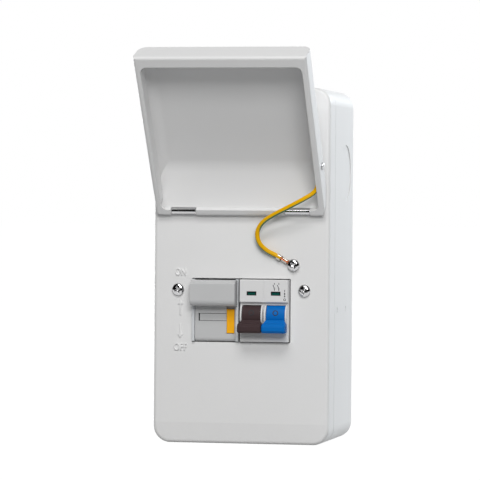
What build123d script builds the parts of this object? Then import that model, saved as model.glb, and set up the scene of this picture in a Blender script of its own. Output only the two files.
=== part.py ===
from build123d import *
import math
import os

os.makedirs("parts", exist_ok=True)

# Millimetres. X is to the right, Z is up, the front faces -Y.
# The origin is the middle of the back face, on the wall.
# A depth is measured forwards from the wall.

# Enclosure
WIDTH = 130.0
HEIGHT = 258.0
DEPTH = 95.0
COVER_DEPTH = 21.0
CORNER_R = 12.0
SHEET = 1.2
BACK_BEND_R = 2.0
FRONT_BEND_R = 2.6
BAND_HEIGHT = 15.0
BAND_DROP = 1.4
SEAM_ROUND = 1.1
PAST = 1.0

# Wall fixing holes
FIXING_X = 90.0
FIXING_Z = 210.0
FIXING_D = 5.5

# Cable knockouts, pushed half out of the sheet
SIDE_KNOCKOUT_D = 41.0
SIDE_KNOCKOUT_DEPTH = 30.7
SIDE_KNOCKOUT_Z = 68.4
END_KNOCKOUT_D = 25.5
END_KNOCKOUT_X = 30.0
END_KNOCKOUT_DEPTH = 36.0
KNOCKOUT_SINK = 0.6

# Device opening in the cover
OPENING_W = 73.0
OPENING_H = 46.4
OPENING_R = 0.8
DEVICE_Z = -32.2

# Rail and its cross member
BRACKET_SHEET = 1.5
BRACKET_BEHIND = 71.0
BRACKET_HEIGHT = 50.0
BRACKET_BEND_R = 2.4
BRACKET_CLEAR = 6.0
RAIL_HEIGHT = 35.0
RAIL_DEPTH = 15.0
RAIL_SHEET = 1.5
RAIL_HAT = 27.0
RAIL_LENGTH = 82.0
RAIL_SCREW_X = 30.0
RAIL_SCREW_D = 5.0
RAIL_SCREW_LENGTH = 9.0
RAIL_HEAD_D = 9.0
RAIL_HEAD_H = 3.0
WELD_D = 4.5
WELD_SINK = 0.3
WELD_EDGE = 4.2
WELD_REAR = 6.0

# Cover fixings
COVER_SCREW_X = 46.7
COVER_SCREW_Z = -17.5
COVER_SCREW_D = 4.0
COVER_SCREW_LENGTH = 12.0
PAN_HEAD_D = 9.0
PAN_HEAD_H = 2.8
HEAD_ROUND = 0.6
RECESS_SPAN = 0.56
RECESS_DEPTH = 0.5
RECESS_W = 1.0
PILLAR_AF = 8.0
PILLAR_BORE_DEPTH = 16.0
PILLAR_SPIGOT_D = 4.0
FIT = 0.1

# Earth bond
EARTH_X = 38.7
EARTH_Z = 0.9
EARTH_SCREW_LENGTH = 8.0
EARTH_NUT_AF = 7.0
EARTH_NUT_H = 2.2
RING_OD = 8.4
RING_SHEET = 0.8
RING_NECK = 0.4
RING_NECK_W = 3.0
LEAD_D = 3.3
BARREL_OD = 3.4
BARREL_LENGTH = 5.5
GRIP_OD = 4.4
GRIP_LENGTH = 3.4
GRIP_STOP = 0.4
LEAD_FIT = 0.05
LEAD_EXIT = 2.0
LEAD_BEND_SHARE = 0.45
COVER_LEAD_ANGLE = 151.0
LID_EARTH_ALONG = 35.6
LID_EARTH_OUT = 9.0
LID_SCREW_D = 3.0
LID_SCREW_LENGTH = 3.5
LID_SCREW_HEAD_D = 5.6
LID_SCREW_HEAD_H = 2.2
LID_NUT_D = 5.2
LID_NUT_H = 1.7
LID_CRIMP_TURN = 20.5

# Lid and hinge
LID_INSET = 2.8
LID_LENGTH = 133.0
LID_DEPTH = 24.4
LID_LEAN = 6.1
LID_EDGE_R = 10.0
LID_TIP_R = 2.5
LID_BEND_R = 16.0
LID_BLEND = 0.02
LID_HINGE_R = 6.0
LID_GAP = 0.4
LID_OPEN = 145.5
RIM_BEND_R = 2.0
RIM_SIDE = 4.0
RIM_FREE = 8.7
RIM_LIP = 10.5
RIM_CORNER_R = 5.0
HINGE_Z = 39.5
HINGE_INSET = 23.0
PIN_D = 3.2
PIN_FIT = 0.05
PIN_LENGTH = 32.0
KNUCKLE_D = 4.6
KNUCKLE_LENGTH = 18.0
KNUCKLE_GAP = 0.4
KNUCKLE_WRAP = 0.65
LEAF_SHEET = 1.0
LEAF_TAIL = 12.0

# Modular devices
NOSE_H = 45.0
DEVICE_DEEP = 50.5
HOOK_BACK = 3.7
HOOK_GAP = 0.3
HOOK_LIP = 2.8
HOOK_W = 20.0
CLIP_W = 14.0
CLIP_SHEET = 1.7
CLIP_TRAVEL = 3.6
CLIP_FIT = 0.2
CLIP_SLOT_W = 6.0
CLIP_SLOT_H = 1.5
CLIP_SLOT_END = 0.9
HOOK_H = 6.0
GUIDE_LENGTH = 12.0
GUIDE_BACK = 0.8

# Main switch
SWITCH_X = 0.2
SWITCH_W = 35.6
SWITCH_H = 85.0
SWITCH_RISE = 11.0
SWITCH_BLOCK_H = 16.4
LEDGE_RISE = 8.0
SWITCH_EDGE_R = 0.7
POLE_SEAM = 0.35
HANDLE_W = 13.6
HANDLE_R = 9.3
HANDLE_FIT = 0.3
HANDLE_RISE = 2.5
HANDLE_Z = -36.0
HANDLE_NECK = 5.6
NECK_RISE = 3.4
NECK_FOLD = 1.6
NECK_INTO = 1.0
RIB_R = 10.2
RIB_W = 1.1
GRIP_W = 17.4
GRIP_REACH = 18.3
GRIP_THICK = 8.6
GRIP_TOP = -41.0
GRIP_BOTTOM = -48.0
GRIP_BEVEL = 2.3
GRIP_UNDER = 1.6
GRIP_EDGE_R = 0.9
GRIP_END = 0.7
FLARE_RISE = 2.4
FLARE_RUN = 3.0
SHAFT_D = 4.0
SHAFT_FIT = 0.06
SHAFT_END = 0.9
SHAFT_WALL = 0.6
TIE_D = 2.4
TIE_RISE = 13.9
TIE_Z = -44.6
TIE_END = 3.0
WINDOW_W = 7.1
WINDOW_H = 2.9
WINDOW_Z = -19.6
WINDOW_WALL = 1.2
FLAG_SHEET = 1.2
FLAG_FIT = 0.2
FLAG_TRAVEL = 3.6

# Box terminals
CAGE_W = 15.0
CAGE_H = 11.0
CAGE_DEEP = 30.0
CAGE_LENGTH = 15.5
CAGE_WALL = 2.0
CAGE_SIDE = 1.2
CAGE_FIT = 0.3
TERMINAL_DEPTH = 15.3
CLAMP_D = 6.0
CLAMP_BELOW = 1.0
CLAMP_SLOT = 1.2
CLAMP_SLOT_W = 1.0
CLAMP_FIT = 0.05

# Copper strap from the switch to the fuse
STRAP_W = 8.0
STRAP_SHEET = 2.0
STRAP_DEEP = 22.0
STRAP_END = 1.0
STRAP_R = 2.0
STRAP_TOP = 29.0
STRAP_LEG_END = 5.0

# Fuse holder
FUSE_X = -36.1
FUSE_W = 34.5
FUSE_TOP = 18.0
FUSE_BOTTOM = -98.0
FUSE_WALL = 2.0
CHEEK_RISE = 6.0
CAVITY_ROOM = 23.0
CAVITY_BOTTOM = -82.0
PIVOT_RISE = 2.5
PIVOT_Z = -52.0
PIVOT_WALL = 0.6
PIVOT_END = 0.7
PIVOT_D = 2.5
PIVOT_FIT = 0.05
PIVOT_KNUCKLE_R = 2.8
CARRIER_GAP = 0.3
PANEL_SHEET = 2.4
GRIP_DRUM_W = 33.2
DRUM_RISE = 10.5
DRUM_TOP = -10.2
DRUM_BOTTOM = -29.0
DRUM_BEVEL = 2.4
DRUM_BEVEL_RUN = 4.5
DRUM_ROUND = 4.5
DRUM_EDGE_R = 1.0
LABEL_W = 21.2
LABEL_H = 5.6
LABEL_SINK = 0.9
LABEL_LEFT = 2.6
LABEL_Z = -37.2
LOCK_W = 5.6
LOCK_LENGTH = 17.4
LOCK_TOP = -31.4
LOCK_TRAVEL = 2.0
LOCK_SINK = 1.4
LOCK_PROUD = 0.6
LOCK_FIT = 0.2
LOCK_RIGHT = 0.7
LOCK_EDGE = 0.25

# Fuse link and its contacts
LINK_D = 22.2
LINK_LENGTH = 58.0
LINK_TOP = -20.8
LINK_DEEP = 14.5
CAP_LENGTH = 16.0
CAP_SHEET = 1.1
TUBE_FIT = 0.03
CRADLE_SHEET = 1.0
CRADLE_FIT = 0.05
CRADLE_H = 12.0
CRADLE_MOUTH = 14.0
CRADLE_WEB = 12.0
CRADLE_WEB_H = 8.0
CRADLE_ROOT = 0.5
BLADE_SHEET = 1.2
BLADE_FIT = 0.05
BLADE_L = 20.0
BLADE_H = 15.0
CONTACT_SHEET = 1.4
TAIL_W = 12.0
CONTACT_CLEAR = 0.4
CONTACT_DROP = 0.8
CONTACT_NECK = 4.0
BLADE_INSET = 0.6

# Earth bar
BAR_LENGTH = 60.0
BAR_SIDE = 9.0
BAR_Z = -112.0
BAR_STAND = 17.0
BAR_PILLAR_X = 24.0
BAR_PILLAR_D = 8.0
BAR_SCREW_D = 4.0
BAR_SCREW_HEAD_D = 6.0
BAR_SCREW_STAND = 1.5
BAR_SCREW_HEAD_H = 2.5
BAR_SLOT_W = 0.8
BAR_SLOT_D = 1.2
BAR_SCREW_PITCH = 8.0
BAR_SCREWS = 5
BAR_BORE = 4.6

# Levels that several pieces share
SEAM = DEPTH - COVER_DEPTH
COVER_INSIDE = DEPTH - SHEET
BRACKET_BACK = DEPTH - BRACKET_BEHIND
BRACKET_FACE = BRACKET_BACK + BRACKET_SHEET
BRACKET_FRONT = SEAM - BRACKET_CLEAR
RAIL_FACE = BRACKET_FACE + RAIL_DEPTH
SHOULDER = RAIL_FACE + DEVICE_DEEP
RAIL_TOP = DEVICE_Z + RAIL_HEIGHT / 2
RAIL_BOTTOM = DEVICE_Z - RAIL_HEIGHT / 2
NOSE_TOP = DEVICE_Z + NOSE_H / 2
NOSE_BOTTOM = DEVICE_Z - NOSE_H / 2
CURL_R = PIN_D / 2 + PIN_FIT + SHEET
RIM_PLANE = DEPTH + LID_GAP
HINGE_DEPTH = RIM_PLANE + CURL_R
RAMP = 180.0 - LID_OPEN
LID_WIDTH = WIDTH - 2 * LID_INSET
HINGE_X = WIDTH / 2 - HINGE_INSET
FUSE_MID = FUSE_X + FUSE_W / 2
LINK_R = LINK_D / 2
SWITCH_BLOCK = SHOULDER + SWITCH_RISE
SWITCH_LEDGE = SHOULDER + LEDGE_RISE
HANDLE_DEPTH = SHOULDER + HANDLE_RISE
GRIP_TIP = HANDLE_DEPTH + GRIP_REACH
TIE_DEPTH = HANDLE_DEPTH + TIE_RISE
CAGE_BACK = SHOULDER - CAGE_DEEP
CAGE_FRONT = CAGE_BACK + CAGE_LENGTH
CLAMP_FRONT = SHOULDER - CLAMP_BELOW
STRAP_DEPTH = SHOULDER - STRAP_DEEP
CHEEK = SHOULDER + CHEEK_RISE
PIVOT_DEPTH = SHOULDER + PIVOT_RISE
DRUM_FRONT = CHEEK + DRUM_RISE
LINK_DEPTH = SHOULDER - LINK_DEEP
CAVITY_BACK = LINK_DEPTH - CAVITY_ROOM


def front_plane(depth):
    """The plane at a depth, facing the front."""
    return Plane.XZ.offset(depth)


def block(x0, x1, d0, d1, z0, z1):
    """A box between two values of X, depth and Z."""
    at = Location(((x0 + x1) / 2, -(d0 + d1) / 2, (z0 + z1) / 2))
    return at * Box(x1 - x0, d1 - d0, z1 - z0)


def rod_forward(x, z, radius, d0, d1):
    """A cylinder that runs forwards from one depth to another."""
    return extrude(front_plane(d0) * Pos(x, z) * Circle(radius), d1 - d0)


def rod_across(depth, z, radius, x0, x1):
    """A cylinder that runs to the right from x0 to x1."""
    return extrude(Plane.YZ.offset(x0) * Pos(-depth, z) * Circle(radius), x1 - x0)


def rod_upright(x, depth, radius, z0, z1):
    """A cylinder that runs up from z0 to z1."""
    return extrude(Plane.XY.offset(z0) * Pos(x, -depth) * Circle(radius), z1 - z0)


def side_profile(points, x0, x1):
    """A side view of (depth, z) points, made solid from x0 to x1."""
    corners = [(-d, z) for d, z in points]
    return extrude(Plane.YZ.offset(x0) * make_face(Polyline(*corners, close=True)), x1 - x0)


def pan_head(x, z, seat, length, shank_d, head_d, head_h):
    """A cross-recess pan-head screw that points backwards, its head on the seat."""
    shank = rod_forward(x, z, shank_d / 2, seat - length, seat)
    head = rod_forward(x, z, head_d / 2, seat, seat + head_h)
    head = fillet(head.edges().group_by(Axis.Y)[0], head_h * HEAD_ROUND)
    top = seat + head_h
    low = top - head_h * RECESS_DEPTH
    span = head_d * RECESS_SPAN / 2
    thin = RECESS_W / 2
    cross = block(x - span, x + span, low, top, z - thin, z + thin)
    cross += block(x - thin, x + thin, low, top, z - span, z + span)
    return shank + head - cross


def half_shear(box, wall, diameter):
    """Push a knockout disc half out of the wall whose outer face is given."""
    disc = Circle(diameter / 2)
    box -= extrude(wall * disc, -KNOCKOUT_SINK)
    return box + extrude(wall.offset(-SHEET) * disc, -KNOCKOUT_SINK)


# Rear box
def make_base_box():
    outer = extrude(front_plane(0) * RectangleRounded(WIDTH, HEIGHT, CORNER_R), SEAM)
    outer = fillet(outer.edges().group_by(Axis.Y)[-1], BACK_BEND_R)
    outer = fillet(outer.edges().group_by(Axis.Y)[0], SEAM_ROUND)
    inner_r = CORNER_R - SHEET
    inner_outline = RectangleRounded(WIDTH - 2 * SHEET, HEIGHT - 2 * SHEET, inner_r)
    inner = extrude(front_plane(SHEET) * inner_outline, SEAM)
    inner = fillet(inner.edges().group_by(Axis.Y)[-1], BACK_BEND_R - SHEET)
    box = outer - inner
    for x in (-FIXING_X / 2, FIXING_X / 2):
        for z in (-FIXING_Z / 2, FIXING_Z / 2):
            box -= rod_forward(x, z, FIXING_D / 2, -PAST, SHEET + PAST)
    for side in (-1, 1):
        wall = Plane(origin=(side * WIDTH / 2, -SIDE_KNOCKOUT_DEPTH, SIDE_KNOCKOUT_Z), z_dir=(side, 0, 0))
        box = half_shear(box, wall, SIDE_KNOCKOUT_D)
        for depth in (BRACKET_BACK + WELD_REAR, BRACKET_FRONT - WELD_EDGE):
            weld = Plane(origin=(side * WIDTH / 2, -depth, DEVICE_Z), z_dir=(side, 0, 0))
            box -= extrude(weld * Circle(WELD_D / 2), -WELD_SINK)
        for x in (-END_KNOCKOUT_X, END_KNOCKOUT_X):
            end = Plane(origin=(x, -END_KNOCKOUT_DEPTH, side * HEIGHT / 2), z_dir=(0, 0, side))
            box = half_shear(box, end, END_KNOCKOUT_D)
    return box


# Cross member, spot-welded to both side walls
def make_rail_bracket():
    half = WIDTH / 2 - SHEET
    z0 = DEVICE_Z - BRACKET_HEIGHT / 2
    z1 = DEVICE_Z + BRACKET_HEIGHT / 2
    shape = [
        (-half, -BRACKET_FRONT),
        (-half, -BRACKET_BACK),
        (half, -BRACKET_BACK),
        (half, -BRACKET_FRONT),
        (half - BRACKET_SHEET, -BRACKET_FRONT),
        (half - BRACKET_SHEET, -BRACKET_FACE),
        (-half + BRACKET_SHEET, -BRACKET_FACE),
        (-half + BRACKET_SHEET, -BRACKET_FRONT),
    ]
    bracket = extrude(Plane.XY.offset(z0) * make_face(Polyline(*shape, close=True)), z1 - z0)
    bends = bracket.edges().filter_by(Axis.Z).group_by(Axis.Y)
    bracket = fillet(bends[-1], BRACKET_BEND_R)
    for side in (-1, 1):
        hole_r = RAIL_SCREW_D / 2 + FIT / 2
        spigot_r = PILLAR_SPIGOT_D / 2 + FIT / 2
        d0 = BRACKET_BACK - PAST
        d1 = BRACKET_FACE + PAST
        bracket -= rod_forward(side * RAIL_SCREW_X, DEVICE_Z, hole_r, d0, d1)
        bracket -= rod_forward(side * COVER_SCREW_X, COVER_SCREW_Z, spigot_r, d0, d1)
    return bracket


# Top-hat rail
def make_din_rail():
    web = BRACKET_FACE + RAIL_SHEET
    lip = RAIL_FACE - RAIL_SHEET
    half = RAIL_HEIGHT / 2
    hat = RAIL_HAT / 2
    thin = hat - RAIL_SHEET
    upper = [
        (BRACKET_FACE, 0),
        (BRACKET_FACE, hat),
        (lip, hat),
        (lip, half),
        (RAIL_FACE, half),
        (RAIL_FACE, thin),
        (web, thin),
        (web, 0),
    ]
    lower = [(d, -z) for d, z in reversed(upper[1:-1])]
    outline = [(d, z + DEVICE_Z) for d, z in upper[1:-1] + lower]
    rail = side_profile(outline, -RAIL_LENGTH / 2, RAIL_LENGTH / 2)
    for side in (-1, 1):
        hole_r = RAIL_SCREW_D / 2 + FIT / 2
        rail -= rod_forward(side * RAIL_SCREW_X, DEVICE_Z, hole_r, BRACKET_FACE - PAST, web + PAST)
    return rail


def make_rail_screws():
    seat = BRACKET_FACE + RAIL_SHEET
    return [
        pan_head(x, DEVICE_Z, seat, RAIL_SCREW_LENGTH, RAIL_SCREW_D, RAIL_HEAD_D, RAIL_HEAD_H)
        for x in (-RAIL_SCREW_X, RAIL_SCREW_X)
    ]


# Hexagon pillars from the cross member to the cover
def make_cover_pillars():
    pillars = []
    for x in (-COVER_SCREW_X, COVER_SCREW_X):
        hexagon = RegularPolygon(PILLAR_AF / 2, 6, major_radius=False)
        length = COVER_INSIDE - BRACKET_FACE
        body = extrude(front_plane(BRACKET_FACE) * Pos(x, COVER_SCREW_Z) * hexagon, length)
        body += rod_forward(x, COVER_SCREW_Z, PILLAR_SPIGOT_D / 2, BRACKET_BACK, BRACKET_FACE)
        bore_r = COVER_SCREW_D / 2 + FIT / 2
        body -= rod_forward(x, COVER_SCREW_Z, bore_r, COVER_INSIDE - PILLAR_BORE_DEPTH, COVER_INSIDE + PAST)
        pillars.append(body)
    return pillars


# Cover pan with shallow sloping bands at top and bottom
def cover_form(inset):
    half_h = HEIGHT / 2 - inset
    face = DEPTH - inset
    back = SEAM - (PAST if inset else 0)
    band = HEIGHT / 2 - BAND_HEIGHT
    drop = BAND_DROP
    profile = [
        (back, -half_h),
        (face - drop, -half_h),
        (face, -band),
        (face, band),
        (face - drop, half_h),
        (back, half_h),
    ]
    slab = side_profile(profile, -WIDTH / 2, WIDTH / 2)
    outline = RectangleRounded(WIDTH - 2 * inset, HEIGHT - 2 * inset, CORNER_R - inset)
    column = extrude(front_plane(back) * outline, face - back + PAST)
    return slab & column


def make_front_cover():
    outer = cover_form(0)
    faces = outer.faces().filter_by(lambda f: f.normal_at(f.center()).Y < -0.9)
    crease = HEIGHT / 2 - BAND_HEIGHT
    rim = faces.edges().filter_by(lambda e: abs(abs(e.center().Z) - crease) > FIT)
    outer = fillet(rim, FRONT_BEND_R)
    outer = fillet(outer.edges().group_by(Axis.Y)[-1], SEAM_ROUND)
    cover = outer - cover_form(SHEET)
    opening = Pos(0, DEVICE_Z) * RectangleRounded(OPENING_W, OPENING_H, OPENING_R)
    cover -= extrude(front_plane(COVER_INSIDE - PAST) * opening, SHEET + 2 * PAST)
    screw_r = COVER_SCREW_D / 2
    d0 = COVER_INSIDE - PAST
    for x in (-COVER_SCREW_X, COVER_SCREW_X):
        cover -= rod_forward(x, COVER_SCREW_Z, screw_r + 2 * FIT, d0, DEPTH + PAST)
    cover -= rod_forward(EARTH_X, EARTH_Z, screw_r + FIT / 2, d0, DEPTH + PAST)
    for x in (-HINGE_X, HINGE_X):
        half = KNUCKLE_LENGTH / 2 + FIT
        top = HINGE_Z - KNUCKLE_D / 2 + LEAF_SHEET + FIT
        low = top - LEAF_SHEET - 2 * FIT
        cover -= block(x - half, x + half, COVER_INSIDE - PAST, DEPTH + PAST, low, top)
    return cover


def make_cover_screws():
    return [
        pan_head(x, COVER_SCREW_Z, DEPTH, COVER_SCREW_LENGTH, COVER_SCREW_D, PAN_HEAD_D, PAN_HEAD_H)
        for x in (-COVER_SCREW_X, COVER_SCREW_X)
    ]


# Hinge knuckle on the pin, its leaf bent down behind the cover
def make_hinge_leaf(x):
    x0 = x - KNUCKLE_LENGTH / 2
    x1 = x + KNUCKLE_LENGTH / 2
    leaf_z = HINGE_Z - KNUCKLE_D / 2
    behind = COVER_INSIDE - LEAF_SHEET
    tube = rod_across(HINGE_DEPTH, HINGE_Z, KNUCKLE_D / 2, x0, x1)
    tube += block(x0, x1, behind, HINGE_DEPTH, leaf_z, leaf_z + LEAF_SHEET)
    tube += block(x0, x1, behind, COVER_INSIDE, leaf_z - LEAF_TAIL, leaf_z + LEAF_SHEET)
    return tube - rod_across(HINGE_DEPTH, HINGE_Z, PIN_D / 2 + PIN_FIT / 2, x0 - PAST, x1 + PAST)


def make_hinge_pins():
    return [
        rod_across(HINGE_DEPTH, HINGE_Z, PIN_D / 2, x - PIN_LENGTH / 2, x + PIN_LENGTH / 2)
        for x in (-HINGE_X, HINGE_X)
    ]


# Lid, drawn closed and then swung open about the hinge
def lid_side_view(inset):
    """The lid's side view: rim, leaning free wall, face, bend and ramp down to the hinge."""
    tilt = math.radians(RAMP)
    face = RIM_PLANE + LID_DEPTH
    free = HINGE_Z - LID_LENGTH
    bend = HINGE_Z + (CURL_R - (face - HINGE_DEPTH) * math.cos(tilt)) / math.sin(tilt)
    top = HINGE_Z + CURL_R * math.sin(tilt)
    corners = [
        (-RIM_PLANE, free),
        (-face, free + LID_LEAN),
        (-face, bend),
        (-HINGE_DEPTH - CURL_R * math.cos(tilt), top),
        (-RIM_PLANE, top),
    ]
    view = make_face(Polyline(*corners, close=True))
    for corner, radius in zip(corners, (RIM_BEND_R, LID_TIP_R, LID_BEND_R)):
        view = fillet(view.vertices().sort_by_distance(corner)[0], radius)
    return offset(view, -inset) if inset else view


def lid_section(inset):
    """The lid's section across its width, which meets the side view in its round edges."""
    middle = RIM_PLANE + LID_DEPTH / 2
    view = Pos(0, -middle) * Rectangle(LID_WIDTH, LID_DEPTH + 2 * LID_BLEND)
    view = fillet(view.vertices().group_by(Axis.Y)[0], LID_EDGE_R)
    view = fillet(view.vertices().group_by(Axis.Y)[-1], RIM_BEND_R)
    return offset(view, -inset) if inset else view


def lid_front_view(inset):
    """The lid's front view, round at the two corners beside the hinge."""
    top = HINGE_Z + CURL_R - inset
    bottom = HINGE_Z - LID_LENGTH
    view = Pos(0, (top + bottom) / 2) * Rectangle(LID_WIDTH - 2 * inset, top - bottom)
    return fillet(view.vertices().group_by(Axis.Y)[-1], LID_HINGE_R - inset)


def lid_form(inset):
    """The lid's full form, made smaller by an inset on every face."""
    form = extrude(Plane.YZ * lid_side_view(inset), WIDTH, both=True)
    form &= extrude(Plane.XY * lid_section(inset), HEIGHT, both=True)
    return form & extrude(lid_plane() * lid_front_view(inset), 2 * LID_DEPTH, both=True)


def lid_plane():
    """The plane of the closed lid's rim, facing the front."""
    return front_plane(RIM_PLANE)


def make_lid_closed():
    inner = lid_form(SHEET)
    lid = lid_form(0) - inner
    rim_top = HINGE_Z - CURL_R
    rim_bottom = HINGE_Z - LID_LENGTH + RIM_FREE
    mouth_w = LID_WIDTH - 2 * RIM_SIDE
    mouth_h = rim_top - rim_bottom
    at = Pos(0, (rim_top + rim_bottom) / 2)
    mouth = at * RectangleRounded(mouth_w, mouth_h, RIM_CORNER_R)
    around = at * RectangleRounded(mouth_w + 2 * SHEET, mouth_h + 2 * SHEET, RIM_CORNER_R + SHEET)
    lid -= extrude(lid_plane() * mouth, SHEET + PAST)
    lip = extrude(lid_plane() * (around - mouth), RIM_LIP) & inner
    lid += lip - block(-WIDTH, WIDTH, 0, 2 * DEPTH, rim_top - RIM_CORNER_R, HEIGHT)
    half = LID_WIDTH / 2 - LID_HINGE_R
    lid += rod_across(HINGE_DEPTH, HINGE_Z, CURL_R, -half, half)
    corner = block(-WIDTH, WIDTH, RIM_PLANE - PAST, HINGE_DEPTH, HINGE_Z, HEIGHT)
    lid -= corner - rod_across(HINGE_DEPTH, HINGE_Z, CURL_R, -WIDTH, WIDTH)
    lid -= rod_across(HINGE_DEPTH, HINGE_Z, PIN_D / 2 + PIN_FIT, -WIDTH, WIDTH)
    for x in (-HINGE_X, HINGE_X):
        gap = KNUCKLE_LENGTH / 2 + KNUCKLE_GAP
        clear = KNUCKLE_D / 2 + KNUCKLE_GAP
        reach = HINGE_DEPTH + CURL_R * KNUCKLE_WRAP
        back = RIM_PLANE - PAST
        low = HINGE_Z - clear - KNUCKLE_GAP
        high = HINGE_Z + 2 * CURL_R
        lid -= block(x - gap, x + gap, back, reach, low, high)
        lid -= rod_across(HINGE_DEPTH, HINGE_Z, clear, x - gap, x + gap)
        lid -= block(x - gap, x + gap, back, reach + 2 * CURL_R, HINGE_Z + PAST, high)
    seat = lid_seat()
    lid -= extrude(seat * Circle(LID_SCREW_D / 2 + FIT / 2), amount=2 * SHEET, both=True)
    notch = RING_OD / 2 + FIT
    wall = seat.origin.X
    low = HINGE_Z - LID_EARTH_ALONG - notch
    high = low + notch + 2 * TERMINAL_LENGTH
    lid -= block(wall - 2 * RIM_SIDE, wall - FIT, RIM_PLANE + SHEET, RIM_PLANE + RIM_LIP + PAST, low, high)
    return lid


def lid_seat():
    """The earth screw's seat on the closed lid's right wall, facing inwards."""
    turn = math.radians(LID_CRIMP_TURN)
    return Plane(
        origin=(LID_WIDTH / 2 - SHEET, -(RIM_PLANE + LID_EARTH_OUT), HINGE_Z - LID_EARTH_ALONG),
        x_dir=(0, math.sin(turn), math.cos(turn)),
        z_dir=(-1, 0, 0),
    )


def open_lid(shape):
    """Swing a closed-lid shape up to the open rest position."""
    axis = Axis((0, -HINGE_DEPTH, HINGE_Z), (1, 0, 0))
    return shape.rotate(axis, -LID_OPEN)


def make_lid_earth_screw():
    head = extrude(Plane.XY.offset(RING_SHEET) * Circle(LID_SCREW_HEAD_D / 2), LID_SCREW_HEAD_H)
    head = fillet(head.edges().group_by(Axis.Z)[-1], LID_SCREW_HEAD_H * HEAD_ROUND)
    shank = extrude(Plane.XY.offset(RING_SHEET) * Circle(LID_SCREW_D / 2), -LID_SCREW_LENGTH)
    return open_lid(lid_seat() * (head + shank))


def make_lid_earth_nut():
    nut = extrude(Plane.XY.offset(-SHEET - FIT) * Circle(LID_NUT_D / 2), -LID_NUT_H)
    nut = fillet(nut.edges().group_by(Axis.Z)[0], LID_NUT_H * HEAD_ROUND)
    tip = RING_SHEET - LID_SCREW_LENGTH - FIT / 2
    nut -= extrude(Plane.XY.offset(tip) * Circle(LID_SCREW_D / 2 + FIT / 4), LID_SCREW_LENGTH)
    return open_lid(lid_seat() * nut)


# Crimped ring terminal: flat ring, conductor barrel and insulation grip
def ring_terminal(bolt_d):
    """A terminal whose ring is flat on XY about the origin and whose crimps run along +X."""
    ring = extrude(Circle(RING_OD / 2), RING_SHEET)
    neck = Location((RING_OD / 2, 0, RING_SHEET / 2)) * Box(RING_OD / 2 + PAST, RING_NECK_W, RING_SHEET)
    start = TERMINAL_LENGTH - GRIP_LENGTH - BARREL_LENGTH
    grip_at = start + BARREL_LENGTH
    barrel = extrude(Plane.YZ.offset(start) * Pos(0, CRIMP_LIFT) * Circle(BARREL_OD / 2), BARREL_LENGTH)
    grip = extrude(Plane.YZ.offset(grip_at) * Pos(0, CRIMP_LIFT) * Circle(GRIP_OD / 2), GRIP_LENGTH)
    shape = ring + neck + barrel + grip
    shape -= extrude(Plane.XY.offset(-PAST) * Circle(bolt_d / 2 + FIT), RING_SHEET + 2 * PAST)
    bore = Plane.YZ.offset(grip_at + GRIP_STOP) * Pos(0, CRIMP_LIFT) * Circle(LEAD_D / 2 + LEAD_FIT)
    return shape - extrude(bore, GRIP_LENGTH)


CRIMP_LIFT = GRIP_OD / 2
TERMINAL_LENGTH = RING_OD / 2 + RING_NECK + BARREL_LENGTH + GRIP_LENGTH

COVER_TERMINAL = Plane(
    origin=(EARTH_X, -DEPTH, EARTH_Z),
    x_dir=(math.cos(math.radians(COVER_LEAD_ANGLE)), 0, math.sin(math.radians(COVER_LEAD_ANGLE))),
    z_dir=(0, -1, 0),
)


def make_cover_ring_terminal():
    return COVER_TERMINAL * ring_terminal(COVER_SCREW_D)


def make_lid_ring_terminal():
    return open_lid(lid_seat() * ring_terminal(LID_SCREW_D))


# Earth lead: limp cable from the lid's crimp to the cover's crimp
LEAD_MIDDLE = [
    (55.6, 14.0, 52.9),
    (49.4, 15.6, 49.0),
    (38.6, 14.2, 43.4),
    (26.4, 11.8, 37.6),
    (16.9, 9.2, 32.0),
    (12.4, 6.9, 24.6),
    (13.8, 5.0, 16.6),
    (19.4, 3.4, 11.2),
]


def crimp_points():
    """Where the lead stops and where it leaves the crimp, along a terminal's own axes."""
    stop = Vector(TERMINAL_LENGTH - GRIP_LENGTH + GRIP_STOP + LEAD_FIT, 0, CRIMP_LIFT)
    return stop, Vector(TERMINAL_LENGTH + LEAD_EXIT, 0, CRIMP_LIFT)


def make_earth_lead():
    stop, leave = crimp_points()
    lid_end, lid_exit = [open_lid(Vertex(lid_seat().from_local_coords(p))).center() for p in (stop, leave)]
    cover_end, cover_exit = [COVER_TERMINAL.from_local_coords(p) for p in (stop, leave)]
    middle = [Vector(x, -DEPTH - proud, z) for x, proud, z in LEAD_MIDDLE]
    points = [lid_end, lid_exit] + middle + [cover_exit, cover_end]
    radii = []
    for before, here, after in zip(points, points[1:], points[2:]):
        turn = math.radians((here - before).get_angle(after - here))
        shorter = min((here - before).length, (after - here).length)
        radii.append(LEAD_BEND_SHARE * shorter / math.tan(turn / 2))
    path = FilletPolyline(*points, radius=radii)
    start = Plane(origin=path @ 0, z_dir=path % 0)
    lead = sweep(start * Circle(LEAD_D / 2), path=path)
    return lead


def make_cover_earth_screw():
    seat = DEPTH + RING_SHEET
    return pan_head(EARTH_X, EARTH_Z, seat, EARTH_SCREW_LENGTH, COVER_SCREW_D, PAN_HEAD_D, PAN_HEAD_H)


def make_cover_earth_nut():
    hexagon = RegularPolygon(EARTH_NUT_AF / 2, 6, major_radius=False)
    nut = extrude(front_plane(COVER_INSIDE - EARTH_NUT_H) * Pos(EARTH_X, EARTH_Z) * hexagon, EARTH_NUT_H)
    return nut - rod_forward(EARTH_X, EARTH_Z, COVER_SCREW_D / 2 + FIT / 2, 0, DEPTH)


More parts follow.
